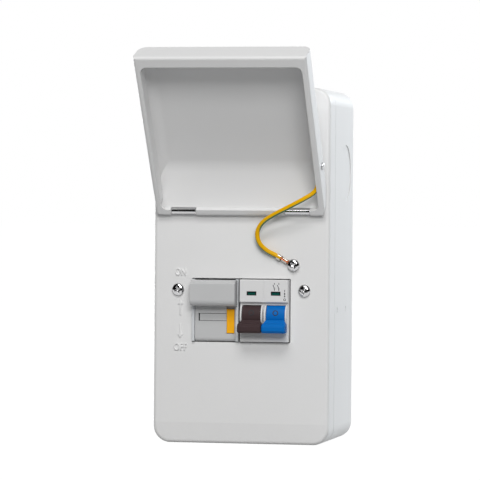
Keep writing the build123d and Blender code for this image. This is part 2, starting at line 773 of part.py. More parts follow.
# Rail foot shared by both devices
def rail_foot(mid):
    """The fixed hook over the rail's top edge and the guide of the sliding clip."""
    back = RAIL_FACE - HOOK_BACK
    lip_front = RAIL_FACE - RAIL_SHEET - HOOK_GAP
    x0 = mid - HOOK_W / 2
    x1 = mid + HOOK_W / 2
    edge = RAIL_TOP + HOOK_GAP
    hook = block(x0, x1, back, RAIL_FACE, edge, edge + HOOK_H)
    hook += block(x0, x1, back, lip_front, RAIL_TOP - HOOK_LIP, edge)
    low = RAIL_BOTTOM - HOOK_GAP
    guide = block(x0, x1, back - GUIDE_BACK, RAIL_FACE, low - GUIDE_LENGTH, low)
    half = CLIP_W / 2 + CLIP_FIT
    slide_back = lip_front - CLIP_SHEET - CLIP_FIT
    bottom = low - GUIDE_LENGTH - PAST
    guide -= block(mid - half, mid + half, slide_back, lip_front + CLIP_FIT, bottom, low + PAST)
    return hook + guide


def make_rail_clip(mid):
    """The sliding clip, its upper end behind the rail's lower edge."""
    front = RAIL_FACE - RAIL_SHEET - HOOK_GAP
    back = front - CLIP_SHEET
    low = RAIL_BOTTOM - HOOK_GAP - GUIDE_LENGTH - CLIP_TRAVEL
    clip = block(mid - CLIP_W / 2, mid + CLIP_W / 2, back, front, low, RAIL_BOTTOM + HOOK_LIP)
    slot_z = low + CLIP_SLOT_END
    half = CLIP_SLOT_W / 2
    return clip - block(mid - half, mid + half, back - PAST, front + PAST, slot_z, slot_z + CLIP_SLOT_H)


# Box terminal and its clamp screw
def make_cage(mid, z0):
    x0 = mid - CAGE_W / 2
    x1 = mid + CAGE_W / 2
    cage = block(x0, x1, CAGE_BACK, CAGE_FRONT, z0, z0 + CAGE_H)
    inner_front = CAGE_FRONT - CAGE_WALL
    z1 = z0 + CAGE_H + PAST
    cage -= block(x0 + CAGE_SIDE, x1 - CAGE_SIDE, CAGE_BACK + CAGE_WALL, inner_front, z0 - PAST, z1)
    hole_r = CLAMP_D / 2 + FIT / 2
    return cage - rod_forward(mid, z0 + CAGE_H / 2, hole_r, inner_front - PAST, CAGE_FRONT + PAST)


def make_clamp_screw(mid, z0):
    tip = STRAP_DEPTH + STRAP_SHEET + CLAMP_FIT
    z = z0 + CAGE_H / 2
    screw = rod_forward(mid, z, CLAMP_D / 2, tip, CLAMP_FRONT)
    thin = CLAMP_SLOT_W / 2
    low = CLAMP_FRONT - CLAMP_SLOT
    return screw - block(mid - CLAMP_D, mid + CLAMP_D, low, CLAMP_FRONT + PAST, z - thin, z + thin)


def terminal_pocket(mid, z_end, up):
    """The space for a box terminal, open at the end of the body, with its screw hole."""
    half = CAGE_W / 2 + CAGE_FIT
    z0 = z_end - TERMINAL_DEPTH if up else z_end - PAST
    z1 = z_end + PAST if up else z_end + TERMINAL_DEPTH
    pocket = block(mid - half, mid + half, CAGE_BACK - CAGE_FIT, CAGE_FRONT + CAGE_FIT, z0, z1)
    z = cage_z(z_end, up) + CAGE_H / 2
    return pocket + rod_forward(mid, z, CLAMP_D / 2 + CAGE_FIT, CAGE_FRONT, SHOULDER + PAST)


def cage_z(z_end, up):
    """The lower face of a cage that stands on the inner end of its pocket."""
    return z_end - TERMINAL_DEPTH if up else z_end + TERMINAL_DEPTH - CAGE_H


# Main switch
SWITCH_TOP = DEVICE_Z + SWITCH_H / 2
SWITCH_BOTTOM = DEVICE_Z - SWITCH_H / 2
BLOCK_BOTTOM = NOSE_TOP - SWITCH_BLOCK_H
POLES = (SWITCH_X + SWITCH_W / 4, SWITCH_X + SWITCH_W * 3 / 4)
FLAG_FRONT = SWITCH_BLOCK - WINDOW_WALL - FLAG_FIT
FLAG_BACK = FLAG_FRONT - FLAG_SHEET
FLAG_LOW = WINDOW_Z - WINDOW_H / 2 - FLAG_FIT
FLAG_HEIGHT = WINDOW_H + FLAG_TRAVEL + 2 * FLAG_FIT


def make_switch_body():
    profile = [
        (RAIL_FACE, SWITCH_BOTTOM),
        (SHOULDER, SWITCH_BOTTOM),
        (SHOULDER, NOSE_BOTTOM),
        (SWITCH_LEDGE, NOSE_BOTTOM),
        (SWITCH_LEDGE, BLOCK_BOTTOM),
        (SWITCH_BLOCK, BLOCK_BOTTOM),
        (SWITCH_BLOCK, NOSE_TOP),
        (SHOULDER, NOSE_TOP),
        (SHOULDER, SWITCH_TOP),
        (RAIL_FACE, SWITCH_TOP),
    ]
    body = side_profile(profile, SWITCH_X, SWITCH_X + SWITCH_W)
    body = fillet(body.edges().filter_by(lambda e: abs(e.center().Y + SWITCH_BLOCK) < FIT), SWITCH_EDGE_R)
    mid = SWITCH_X + SWITCH_W / 2
    body += rail_foot(mid)
    seam = POLE_SEAM / 2
    front = SWITCH_BLOCK + PAST
    back = SWITCH_BLOCK - POLE_SEAM
    body -= block(mid - seam, mid + seam, back, front, BLOCK_BOTTOM - PAST, NOSE_TOP + PAST)
    for x in POLES:
        half = HANDLE_W / 2 + HANDLE_FIT
        for rib_x in (x - half - RIB_W, x + half):
            body += rod_across(HANDLE_DEPTH, HANDLE_Z, RIB_R, rib_x, rib_x + RIB_W)
        body -= rod_across(HANDLE_DEPTH, HANDLE_Z, HANDLE_R + HANDLE_FIT, x - half, x + half)
        half_flag = WINDOW_W / 2 + FLAG_FIT
        back = FLAG_BACK - FLAG_FIT
        low = FLAG_LOW - FLAG_TRAVEL - FLAG_FIT
        high = FLAG_LOW + FLAG_HEIGHT + FLAG_FIT
        body -= block(x - half_flag, x + half_flag, back, FLAG_FRONT + FLAG_FIT, low, high)
        low = WINDOW_Z - WINDOW_H / 2
        body -= block(x - WINDOW_W / 2, x + WINDOW_W / 2, FLAG_FRONT, front, low, low + WINDOW_H)
        body -= terminal_pocket(x, SWITCH_TOP, True)
        body -= terminal_pocket(x, SWITCH_BOTTOM, False)
    shaft_r = SHAFT_D / 2 + SHAFT_FIT
    x1 = SWITCH_X + SWITCH_W - SHAFT_WALL
    return body - rod_across(HANDLE_DEPTH, HANDLE_Z, shaft_r, SWITCH_X + SHAFT_WALL, x1)


def make_switch_handle(x):
    half = HANDLE_W / 2
    wide = GRIP_W / 2
    back = GRIP_TIP - GRIP_THICK
    root = HANDLE_DEPTH + HANDLE_NECK
    handle = rod_across(HANDLE_DEPTH, HANDLE_Z, HANDLE_R, x - half, x + half)
    neck = [
        (root, GRIP_TOP + NECK_RISE),
        (back + NECK_INTO, GRIP_TOP + NECK_FOLD),
        (back + NECK_INTO, GRIP_BOTTOM + NECK_INTO),
        (root, GRIP_TOP - NECK_FOLD),
    ]
    handle += side_profile(neck, x - half, x + half)
    bar = [
        (back, GRIP_TOP),
        (GRIP_TIP - GRIP_BEVEL, GRIP_TOP),
        (GRIP_TIP, GRIP_TOP - GRIP_BEVEL),
        (GRIP_TIP, GRIP_BOTTOM + GRIP_UNDER),
        (GRIP_TIP - GRIP_UNDER, GRIP_BOTTOM),
        (back, GRIP_BOTTOM),
    ]
    grip = side_profile(bar, x - wide, x + wide)
    grip = fillet(grip.edges().filter_by(Axis.X), GRIP_EDGE_R)
    ends = grip.faces().sort_by(Axis.X)
    grip = chamfer(ends[0].edges() + ends[-1].edges(), GRIP_END)
    start = HANDLE_DEPTH + RIB_R + HANDLE_FIT
    top = GRIP_TOP + FLARE_RISE
    low = GRIP_TOP - PAST
    corners = [(x - half, top), (x + half, top), (x + wide, low), (x - wide, low)]
    spread = make_face(Polyline(*corners, close=True))
    flare = side_profile([(start, top), (start + FLARE_RUN, low), (start, low)], x - wide, x + wide)
    flare &= extrude(front_plane(start) * spread, FLARE_RUN)
    handle += grip + flare
    handle -= rod_across(HANDLE_DEPTH, HANDLE_Z, SHAFT_D / 2 + FIT / 4, x - GRIP_W, x + GRIP_W)
    return handle - rod_across(TIE_DEPTH, TIE_Z, TIE_D / 2 + FIT / 4, x - GRIP_W, x + GRIP_W)


def make_switch_shaft():
    x1 = SWITCH_X + SWITCH_W - SHAFT_END
    return rod_across(HANDLE_DEPTH, HANDLE_Z, SHAFT_D / 2, SWITCH_X + SHAFT_END, x1)


def make_handle_tie_pin():
    x0 = POLES[0] - GRIP_W / 2 + TIE_END
    x1 = POLES[1] + GRIP_W / 2 - TIE_END
    return rod_across(TIE_DEPTH, TIE_Z, TIE_D / 2, x0, x1)


def make_indicator_flags():
    return [
        block(x - WINDOW_W / 2, x + WINDOW_W / 2, FLAG_BACK, FLAG_FRONT, FLAG_LOW, FLAG_LOW + FLAG_HEIGHT)
        for x in POLES
    ]


def make_switch_terminals():
    cages = []
    for x in POLES:
        cages.append(make_cage(x, cage_z(SWITCH_TOP, True)))
        cages.append(make_cage(x, cage_z(SWITCH_BOTTOM, False)))
    return cages


def make_switch_terminal_screws():
    screws = []
    for x in POLES:
        screws.append(make_clamp_screw(x, cage_z(SWITCH_TOP, True)))
        screws.append(make_clamp_screw(x, cage_z(SWITCH_BOTTOM, False)))
    return screws


# Fuse holder body: two cheeks, a cavity for the link, terminals at both ends
LINK_BOTTOM = LINK_TOP - LINK_LENGTH
FUSE_INNER_0 = FUSE_X + FUSE_WALL
FUSE_INNER_1 = FUSE_X + FUSE_W - FUSE_WALL
CONTACT_BACK = LINK_DEPTH - LINK_R - CONTACT_CLEAR - CONTACT_SHEET
LOWER_WEB_TOP = LINK_BOTTOM - CONTACT_CLEAR - CONTACT_DROP
CARRIER_0 = FUSE_INNER_0 + CARRIER_GAP
CARRIER_1 = FUSE_INNER_1 - CARRIER_GAP
PANEL_FRONT = PIVOT_DEPTH + PIVOT_KNUCKLE_R
LOCK_X = CARRIER_1 - LOCK_RIGHT


def make_fuse_base():
    profile = [
        (RAIL_FACE, FUSE_BOTTOM),
        (SHOULDER, FUSE_BOTTOM),
        (SHOULDER, NOSE_BOTTOM),
        (CHEEK, NOSE_BOTTOM),
        (CHEEK, NOSE_TOP),
        (SHOULDER, NOSE_TOP),
        (SHOULDER, FUSE_TOP),
        (RAIL_FACE, FUSE_TOP),
    ]
    body = side_profile(profile, FUSE_X, FUSE_X + FUSE_W)
    body += rail_foot(FUSE_MID)
    x0 = FUSE_INNER_0
    x1 = FUSE_INNER_1
    body -= block(x0, x1, CAVITY_BACK, CHEEK + PAST, NOSE_BOTTOM - PAST, NOSE_TOP)
    body -= block(x0, x1, CAVITY_BACK, SHOULDER - FUSE_WALL, CAVITY_BOTTOM, NOSE_BOTTOM)
    body -= block(x0, x1, SHOULDER, CHEEK + PAST, NOSE_BOTTOM - PAST, NOSE_BOTTOM + PAST)
    body -= terminal_pocket(FUSE_MID, FUSE_TOP, True)
    body -= terminal_pocket(FUSE_MID, FUSE_BOTTOM, False)
    half = TAIL_W / 2 + CAGE_FIT
    back = CONTACT_BACK - CAGE_FIT
    front = CONTACT_BACK + CONTACT_SHEET + CAGE_FIT
    upper_end = FUSE_TOP - TERMINAL_DEPTH + PAST
    lower_end = FUSE_BOTTOM + TERMINAL_DEPTH - PAST
    body -= block(FUSE_MID - half, FUSE_MID + half, back, front, NOSE_TOP - PAST, upper_end)
    body -= block(FUSE_MID - half, FUSE_MID + half, back, front, lower_end, CAVITY_BOTTOM + PAST)
    hole_r = PIVOT_D / 2 + FIT / 4
    return body - rod_across(PIVOT_DEPTH, PIVOT_Z, hole_r, FUSE_X + PIVOT_WALL, FUSE_X + FUSE_W - PIVOT_WALL)


def make_carrier_pivot():
    x1 = FUSE_X + FUSE_W - PIVOT_END
    return rod_across(PIVOT_DEPTH, PIVOT_Z, PIVOT_D / 2, FUSE_X + PIVOT_END, x1)


# Fuse carrier: drum grip, panel, pivot knuckle and the cradle round the link
def make_drum():
    start = CHEEK + CARRIER_GAP
    profile = [
        (start, DRUM_TOP),
        (DRUM_FRONT - DRUM_BEVEL_RUN, DRUM_TOP),
        (DRUM_FRONT, DRUM_TOP - DRUM_BEVEL),
        (DRUM_FRONT, DRUM_BOTTOM),
        (start, DRUM_BOTTOM),
    ]
    drum = side_profile(profile, FUSE_MID - GRIP_DRUM_W / 2, FUSE_MID + GRIP_DRUM_W / 2)
    front_edges = drum.edges().filter_by(Axis.X).filter_by(lambda e: e.center().Y < -start - PAST)
    lower = front_edges.sort_by(Axis.Z)[0]
    drum = fillet(lower, DRUM_ROUND)
    front_edges = drum.edges().filter_by(Axis.X).filter_by(lambda e: e.center().Y < -start - PAST)
    return fillet(front_edges.sort_by(Axis.Z)[-2:], DRUM_EDGE_R)


def make_cradle():
    low = PIVOT_Z
    high = PIVOT_Z + CRADLE_H
    hug = LINK_R - CAP_SHEET + CRADLE_FIT
    cradle = rod_upright(FUSE_MID, LINK_DEPTH, hug + CRADLE_SHEET, low, high)
    web = CRADLE_WEB / 2
    middle = (low + high) / 2
    web_low = middle - CRADLE_WEB_H / 2
    web_high = middle + CRADLE_WEB_H / 2
    panel_back = PANEL_FRONT - PANEL_SHEET
    web_front = panel_back + CRADLE_ROOT
    cradle += block(FUSE_MID - web, FUSE_MID + web, LINK_DEPTH + hug, web_front, web_low, web_high)
    cradle -= rod_upright(FUSE_MID, LINK_DEPTH, hug, low - PAST, high + PAST)
    mouth = CRADLE_MOUTH / 2
    back = LINK_DEPTH - 2 * LINK_R
    return cradle - block(FUSE_MID - mouth, FUSE_MID + mouth, back, LINK_DEPTH, low - PAST, high + PAST)


def make_fuse_carrier():
    panel_back = PANEL_FRONT - PANEL_SHEET
    x0 = CARRIER_0
    x1 = CARRIER_1
    neck_front = CHEEK + CARRIER_GAP
    carrier = make_drum() + block(x0, x1, panel_back, neck_front, DRUM_BOTTOM, DRUM_TOP - CARRIER_GAP)
    carrier += block(x0, x1, panel_back, PANEL_FRONT, PIVOT_Z, DRUM_BOTTOM)
    carrier += rod_across(PIVOT_DEPTH, PIVOT_Z, PIVOT_KNUCKLE_R, x0, x1)
    carrier += make_cradle()
    label_x = x0 + LABEL_LEFT
    label_z = LABEL_Z - LABEL_H / 2
    label_back = PANEL_FRONT - LABEL_SINK
    carrier -= block(label_x, label_x + LABEL_W, label_back, PANEL_FRONT + PAST, label_z, label_z + LABEL_H)
    carrier -= block(
        LOCK_X - LOCK_W - LOCK_FIT,
        LOCK_X + LOCK_FIT,
        PANEL_FRONT - LOCK_SINK - LOCK_FIT,
        PANEL_FRONT + PAST,
        LOCK_TOP - LOCK_LENGTH - LOCK_FIT,
        LOCK_TOP + LOCK_TRAVEL + LOCK_FIT,
    )
    return carrier - rod_across(PIVOT_DEPTH, PIVOT_Z, PIVOT_D / 2 + PIVOT_FIT, x0 - PAST, x1 + PAST)


def make_carrier_lock():
    front = PANEL_FRONT + LOCK_PROUD
    lock = block(LOCK_X - LOCK_W, LOCK_X, PANEL_FRONT - LOCK_SINK, front, LOCK_TOP - LOCK_LENGTH, LOCK_TOP)
    return chamfer(lock.faces().sort_by(Axis.Y)[0].edges(), LOCK_EDGE)


def make_fuse_link_body():
    tube_r = LINK_R - CAP_SHEET
    return rod_upright(FUSE_MID, LINK_DEPTH, tube_r, LINK_BOTTOM + CAP_SHEET, LINK_TOP - CAP_SHEET)


def make_fuse_link_caps():
    caps = []
    inner = LINK_R - CAP_SHEET + TUBE_FIT
    for z0, z1, open_z0, open_z1 in (
        (LINK_BOTTOM, LINK_BOTTOM + CAP_LENGTH, LINK_BOTTOM + CAP_SHEET, LINK_BOTTOM + CAP_LENGTH + PAST),
        (LINK_TOP - CAP_LENGTH, LINK_TOP, LINK_TOP - CAP_LENGTH - PAST, LINK_TOP - CAP_SHEET),
    ):
        cap = rod_upright(FUSE_MID, LINK_DEPTH, LINK_R, z0, z1)
        caps.append(cap - rod_upright(FUSE_MID, LINK_DEPTH, inner, open_z0, open_z1))
    return caps


def contact_blades(z0):
    """Two spring blades, one at each side of the link's cap."""
    near = LINK_R + BLADE_FIT
    far = near + BLADE_SHEET
    d0 = LINK_DEPTH - BLADE_L / 2
    left = block(FUSE_MID - far, FUSE_MID - near, d0, d0 + BLADE_L, z0, z0 + BLADE_H)
    return left, block(FUSE_MID + near, FUSE_MID + far, d0, d0 + BLADE_L, z0, z0 + BLADE_H)


def make_fuse_contact_upper():
    far = LINK_R + BLADE_FIT + BLADE_SHEET
    near = far - BLADE_SHEET
    z1 = LINK_TOP - BLADE_INSET
    web_z0 = z1 - BLADE_H * 2 / 3
    back = CONTACT_BACK
    front = back + CONTACT_SHEET
    tail = TAIL_W / 2
    tail_z1 = FUSE_TOP - TERMINAL_DEPTH + CAGE_H
    web = block(FUSE_MID - far, FUSE_MID + far, back, front, web_z0, z1 + CONTACT_NECK)
    web += block(FUSE_MID - tail, FUSE_MID + tail, back, front, z1, tail_z1)
    for blade in contact_blades(z1 - BLADE_H):
        web += blade
    d0 = LINK_DEPTH - BLADE_L / 2
    web += block(FUSE_MID - far, FUSE_MID - near, back, d0, web_z0, z1)
    return web + block(FUSE_MID + near, FUSE_MID + far, back, d0, web_z0, z1)


def make_fuse_contact_lower():
    far = LINK_R + BLADE_FIT + BLADE_SHEET
    near = far - BLADE_SHEET
    z0 = LINK_BOTTOM + BLADE_INSET
    top = LOWER_WEB_TOP
    d0 = LINK_DEPTH - BLADE_L / 2
    d1 = d0 + BLADE_L
    back = CONTACT_BACK
    web = block(FUSE_MID - far, FUSE_MID + far, back, d1, top - CONTACT_SHEET, top)
    for blade in contact_blades(z0):
        web += blade
    web += block(FUSE_MID - far, FUSE_MID - near, d0, d1, top, z0)
    web += block(FUSE_MID + near, FUSE_MID + far, d0, d1, top, z0)
    tail = TAIL_W / 2
    tail_z0 = FUSE_BOTTOM + TERMINAL_DEPTH - CAGE_H
    return web + block(FUSE_MID - tail, FUSE_MID + tail, back, back + CONTACT_SHEET, tail_z0, top)


def make_fuse_terminals():
    return [make_cage(FUSE_MID, z) for z in (cage_z(FUSE_TOP, True), cage_z(FUSE_BOTTOM, False))]


def make_fuse_terminal_screws():
    return [make_clamp_screw(FUSE_MID, z) for z in (cage_z(FUSE_TOP, True), cage_z(FUSE_BOTTOM, False))]


# Copper strap, bridge-shaped, from the switched pole to the fuse
def make_link_strap():
    pole = POLES[0]
    d0 = STRAP_DEPTH
    d1 = STRAP_DEPTH + STRAP_SHEET
    half = STRAP_W / 2
    strap = block(FUSE_MID - half, pole + half, d0, d1, STRAP_TOP - STRAP_W, STRAP_TOP)
    strap += block(FUSE_MID - half, FUSE_MID + half, d0, d1, STRAP_LEG_END, STRAP_TOP)
    strap += block(pole - half, pole + half, d0, d1, SWITCH_TOP - TERMINAL_DEPTH + STRAP_END, STRAP_TOP)
    return fillet(strap.edges().filter_by(Axis.Y).group_by(Axis.Z)[-1], STRAP_R)


# Earth bar on two pillars
def make_earth_bar_pillars():
    pillars = []
    top = SHEET + BAR_STAND
    for x in (-BAR_PILLAR_X, BAR_PILLAR_X):
        pillar = rod_forward(x, BAR_Z, BAR_PILLAR_D / 2, SHEET, top)
        pillars.append(pillar + rod_forward(x, BAR_Z, BAR_SCREW_D / 2, top, top + BAR_SIDE))
    return pillars


def bar_screw_places():
    middle = (BAR_SCREWS - 1) / 2
    return [(i - middle) * BAR_SCREW_PITCH for i in range(BAR_SCREWS)]


def make_earth_bar():
    d0 = SHEET + BAR_STAND
    d1 = d0 + BAR_SIDE
    bar = block(-BAR_LENGTH / 2, BAR_LENGTH / 2, d0, d1, BAR_Z - BAR_SIDE / 2, BAR_Z + BAR_SIDE / 2)
    for x in (-BAR_PILLAR_X, BAR_PILLAR_X):
        bar -= rod_forward(x, BAR_Z, BAR_SCREW_D / 2 + FIT / 4, d0 - PAST, d1 + PAST)
    for x in bar_screw_places():
        bar -= rod_upright(x, (d0 + d1) / 2, BAR_BORE / 2, BAR_Z - BAR_SIDE, BAR_Z + BAR_SIDE)
        bar -= rod_forward(x, BAR_Z, BAR_SCREW_D / 2 + FIT / 4, (d0 + d1) / 2, d1 + PAST)
    return bar


def make_earth_bar_screws():
    screws = []
    seat = SHEET + BAR_STAND + BAR_SIDE
    under = seat + BAR_SCREW_STAND
    top = under + BAR_SCREW_HEAD_H
    thin = BAR_SLOT_W / 2
    for x in bar_screw_places():
        screw = rod_forward(x, BAR_Z, BAR_SCREW_D / 2, seat - BAR_SIDE / 2, under)
        screw += rod_forward(x, BAR_Z, BAR_SCREW_HEAD_D / 2, under, top)
        x0 = x - BAR_SCREW_D
        x1 = x + BAR_SCREW_D
        screws.append(screw - block(x0, x1, top - BAR_SLOT_D, top + PAST, BAR_Z - thin, BAR_Z + thin))
    return screws


PIECES = {
    "base_box": make_base_box(),
    "rail_bracket": make_rail_bracket(),
    "din_rail": make_din_rail(),
    "rail_screws": make_rail_screws(),
    "cover_pillars": make_cover_pillars(),
    "front_cover": make_front_cover(),
    "cover_screws": make_cover_screws(),
    "hinge_leaf_left": make_hinge_leaf(-HINGE_X),
    "hinge_leaf_right": make_hinge_leaf(HINGE_X),
    "hinge_pins": make_hinge_pins(),
    "lid": open_lid(make_lid_closed()),
    "lid_earth_screw": make_lid_earth_screw(),
    "lid_earth_nut": make_lid_earth_nut(),
    "lid_ring_terminal": make_lid_ring_terminal(),
    "earth_lead": make_earth_lead(),
    "cover_ring_terminal": make_cover_ring_terminal(),
    "cover_earth_screw": make_cover_earth_screw(),
    "cover_earth_nut": make_cover_earth_nut(),
    "switch_body": make_switch_body(),
    "switch_handle_brown": make_switch_handle(POLES[0]),
    "switch_handle_blue": make_switch_handle(POLES[1]),
    "switch_shaft": make_switch_shaft(),
    "handle_tie_pin": make_handle_tie_pin(),
    "indicator_flags": make_indicator_flags(),
    "switch_terminals": make_switch_terminals(),
    "switch_terminal_screws": make_switch_terminal_screws(),
    "switch_rail_clip": make_rail_clip(SWITCH_X + SWITCH_W / 2),
    "fuse_base": make_fuse_base(),
    "fuse_carrier": make_fuse_carrier(),
    "carrier_pivot": make_carrier_pivot(),
    "carrier_lock": make_carrier_lock(),
    "fuse_link_body": make_fuse_link_body(),
    "fuse_link_caps": make_fuse_link_caps(),
    "fuse_contact_upper": make_fuse_contact_upper(),
    "fuse_contact_lower": make_fuse_contact_lower(),
    "fuse_terminals": make_fuse_terminals(),
    "fuse_terminal_screws": make_fuse_terminal_screws(),
    "fuse_rail_clip": make_rail_clip(FUSE_MID),
    "link_strap": make_link_strap(),
    "earth_bar": make_earth_bar(),
    "earth_bar_screws": make_earth_bar_screws(),
    "earth_bar_pillars": make_earth_bar_pillars(),
}

for name, shape in PIECES.items():
    solid = Compound(children=shape) if isinstance(shape, list) else shape
    export_step(solid, f"parts/{name}.step")
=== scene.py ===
"""Dresses the switch fuse unit: camera, studio, finishes, marks, screws and earth lead."""
import logging
import math
from dataclasses import dataclass, field
from enum import Enum
from typing import Iterable, Sequence

import bmesh
import bpy
from mathutils import Matrix, Vector


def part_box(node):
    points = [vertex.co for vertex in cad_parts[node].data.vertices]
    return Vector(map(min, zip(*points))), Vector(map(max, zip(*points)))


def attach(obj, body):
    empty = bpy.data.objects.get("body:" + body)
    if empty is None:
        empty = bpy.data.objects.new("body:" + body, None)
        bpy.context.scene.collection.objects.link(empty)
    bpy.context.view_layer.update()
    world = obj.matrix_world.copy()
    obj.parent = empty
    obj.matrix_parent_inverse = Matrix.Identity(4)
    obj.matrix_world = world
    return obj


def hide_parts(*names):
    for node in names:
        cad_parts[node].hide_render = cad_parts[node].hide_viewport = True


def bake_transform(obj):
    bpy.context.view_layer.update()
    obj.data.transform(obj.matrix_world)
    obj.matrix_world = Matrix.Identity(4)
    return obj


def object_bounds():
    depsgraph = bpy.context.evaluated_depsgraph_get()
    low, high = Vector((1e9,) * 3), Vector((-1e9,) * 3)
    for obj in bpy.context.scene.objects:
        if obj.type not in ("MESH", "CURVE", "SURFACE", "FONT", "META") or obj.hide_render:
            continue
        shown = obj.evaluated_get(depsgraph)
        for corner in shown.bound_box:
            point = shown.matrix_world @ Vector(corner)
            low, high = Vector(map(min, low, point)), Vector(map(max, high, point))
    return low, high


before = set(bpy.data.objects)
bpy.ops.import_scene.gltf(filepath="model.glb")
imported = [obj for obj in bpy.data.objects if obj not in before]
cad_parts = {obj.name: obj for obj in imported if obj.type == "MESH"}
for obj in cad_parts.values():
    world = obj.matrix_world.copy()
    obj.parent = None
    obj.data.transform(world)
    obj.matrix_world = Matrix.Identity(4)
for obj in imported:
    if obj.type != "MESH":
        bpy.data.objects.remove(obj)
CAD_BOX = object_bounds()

LOG = logging.getLogger("switch_fuse_unit")
MM = 0.001
Colour = tuple[float, float, float]
Point = tuple[float, float, float]
Sizes = tuple[float, float, float]
Profile = list[tuple[float, float]]
Join = tuple[bpy.types.Node, str | int, bpy.types.Node, str | int]
Loop = list[bmesh.types.BMVert]

RIGHT = Vector((1, 0, 0))
FRONT = Vector((0, -1, 0))
UP = Vector((0, 0, 1))


class Body(Enum):
    """The rigid bodies that pieces ride on."""

    ENCLOSURE = "enclosure"
    LID = "lid"
    TOGGLES = "toggles"
    CARRIER = "carrier"


class Grain(Enum):
    """The kind of fine relief that a finish shows."""

    EVEN = "even"
    BRUSHED = "brushed"


class NodeGroups:
    """Shader node groups that several finishes share, each built once."""

    STRETCH = {Grain.EVEN: (1, 1, 1), Grain.BRUSHED: (0.06, 1, 1)}
    FINE_DETAIL = 3.0
    FINE_ROUGHNESS = 0.55
    DRIFT_DETAIL = 2.0
    _built: dict[str, bpy.types.ShaderNodeTree] = {}

    @classmethod
    def _new(
        cls, name: str, inputs: Sequence[tuple[str, str, object]], outputs: Sequence[tuple[str, str]]
    ) -> tuple[bpy.types.ShaderNodeTree, bpy.types.Node, bpy.types.Node]:
        """Start an empty group with its sockets.

        Args:
            name: the group's name.
            inputs: socket name, socket type and default value of each input.
            outputs: socket name and socket type of each output.

        Returns:
            The tree, its input node and its output node.
        """
        tree = bpy.data.node_groups.new(name, "ShaderNodeTree")
        for label, kind, default in inputs:
            socket = tree.interface.new_socket(label, in_out="INPUT", socket_type=kind)
            socket.default_value = default
        for label, kind in outputs:
            tree.interface.new_socket(label, in_out="OUTPUT", socket_type=kind)
        cls._built[name] = tree
        return tree, tree.nodes.new("NodeGroupInput"), tree.nodes.new("NodeGroupOutput")

    @staticmethod
    def node(
        tree: bpy.types.NodeTree, kind: str, values: dict[str | int, object] | None = None, **settings: object
    ) -> bpy.types.Node:
        """Add a node to a tree.

        Args:
            tree: the tree.
            kind: the node's type.
            values: the values of its inputs.
            settings: its other settings, which are made first.

        Returns:
            The node.
        """
        node = tree.nodes.new(kind)
        for name, setting in settings.items():
            setattr(node, name, setting)
        for socket, value in (values or {}).items():
            node.inputs[socket].default_value = value
        return node

    @staticmethod
    def wire(tree: bpy.types.NodeTree, *joins: Join) -> None:
        """Link nodes of a tree.

        Args:
            tree: the tree.
            joins: a node, its output, another node and its input, for each link.
        """
        for source, output, sink, entry in joins:
            tree.links.new(source.outputs[output], sink.inputs[entry])

    @classmethod
    def surface(cls, grain: Grain) -> bpy.types.ShaderNodeTree:
        """Colour drift, roughness drift and fine relief of a surface.

        Args:
            grain: even relief, or relief drawn out along X as brushing leaves it.

        Returns:
            The node group for that grain.
        """
        name = f"surface_{grain.value}"
        if name in cls._built:
            return cls._built[name]
        tree, source, sink = cls._new(
            name,
            [
                ("Light", "NodeSocketColor", (0.8, 0.8, 0.8, 1)),
                ("Dark", "NodeSocketColor", (0.7, 0.7, 0.7, 1)),
                ("Grain Scale", "NodeSocketFloat", 800.0),
                ("Drift Scale", "NodeSocketFloat", 18.0),
                ("Rough Low", "NodeSocketFloat", 0.3),
                ("Rough High", "NodeSocketFloat", 0.5),
            ],
            [("Color", "NodeSocketColor"), ("Roughness", "NodeSocketFloat"), ("Height", "NodeSocketFloat")],
        )
        place = cls.node(tree, "ShaderNodeTexCoord")
        stretch = cls.node(tree, "ShaderNodeMapping", {"Scale": cls.STRETCH[grain]})
        grit = {"Detail": cls.FINE_DETAIL, "Roughness": cls.FINE_ROUGHNESS}
        fine = cls.node(tree, "ShaderNodeTexNoise", grit)
        drift = cls.node(tree, "ShaderNodeTexNoise", {"Detail": cls.DRIFT_DETAIL})
        tint = cls.node(tree, "ShaderNodeMix", data_type="RGBA")
        rough = cls.node(tree, "ShaderNodeMapRange")
        cls.wire(
            tree,
            (place, "Object", stretch, "Vector"),
            (stretch, "Vector", fine, "Vector"),
            (place, "Object", drift, "Vector"),
            (source, "Grain Scale", fine, "Scale"),
            (source, "Drift Scale", drift, "Scale"),
            (drift, "Fac", tint, "Factor"),
            (source, "Dark", tint, "A"),
            (source, "Light", tint, "B"),
            (fine, "Fac", rough, "Value"),
            (source, "Rough Low", rough, "To Min"),
            (source, "Rough High", rough, "To Max"),
            (tint, "Result", sink, "Color"),
            (rough, "Result", sink, "Roughness"),
            (fine, "Fac", sink, "Height"),
        )
        return tree

    @classmethod
    def nibs(cls) -> bpy.types.ShaderNodeTree:
        """Sparse small specks, as dust leaves in paint.

        Returns:
            The node group, with the specks as a mask.
        """
        name = "nibs"
        if name in cls._built:
            return cls._built[name]
        tree, source, sink = cls._new(
            name,
            [("Spacing Scale", "NodeSocketFloat", 60.0), ("Size", "NodeSocketFloat", 0.04)],
            [("Mask", "NodeSocketFloat")],
        )
        place = cls.node(tree, "ShaderNodeTexCoord")
        cells = cls.node(tree, "ShaderNodeTexVoronoi")
        fade = {"From Min": 0.0, "To Min": 1.0, "To Max": 0.0}
        spot = cls.node(tree, "ShaderNodeMapRange", fade, interpolation_type="SMOOTHSTEP")
        cls.wire(
            tree,
            (place, "Object", cells, "Vector"),
            (source, "Spacing Scale", cells, "Scale"),
            (cells, "Distance", spot, "Value"),
            (source, "Size", spot, "From Max"),
            (spot, "Result", sink, "Mask"),
        )
        return tree


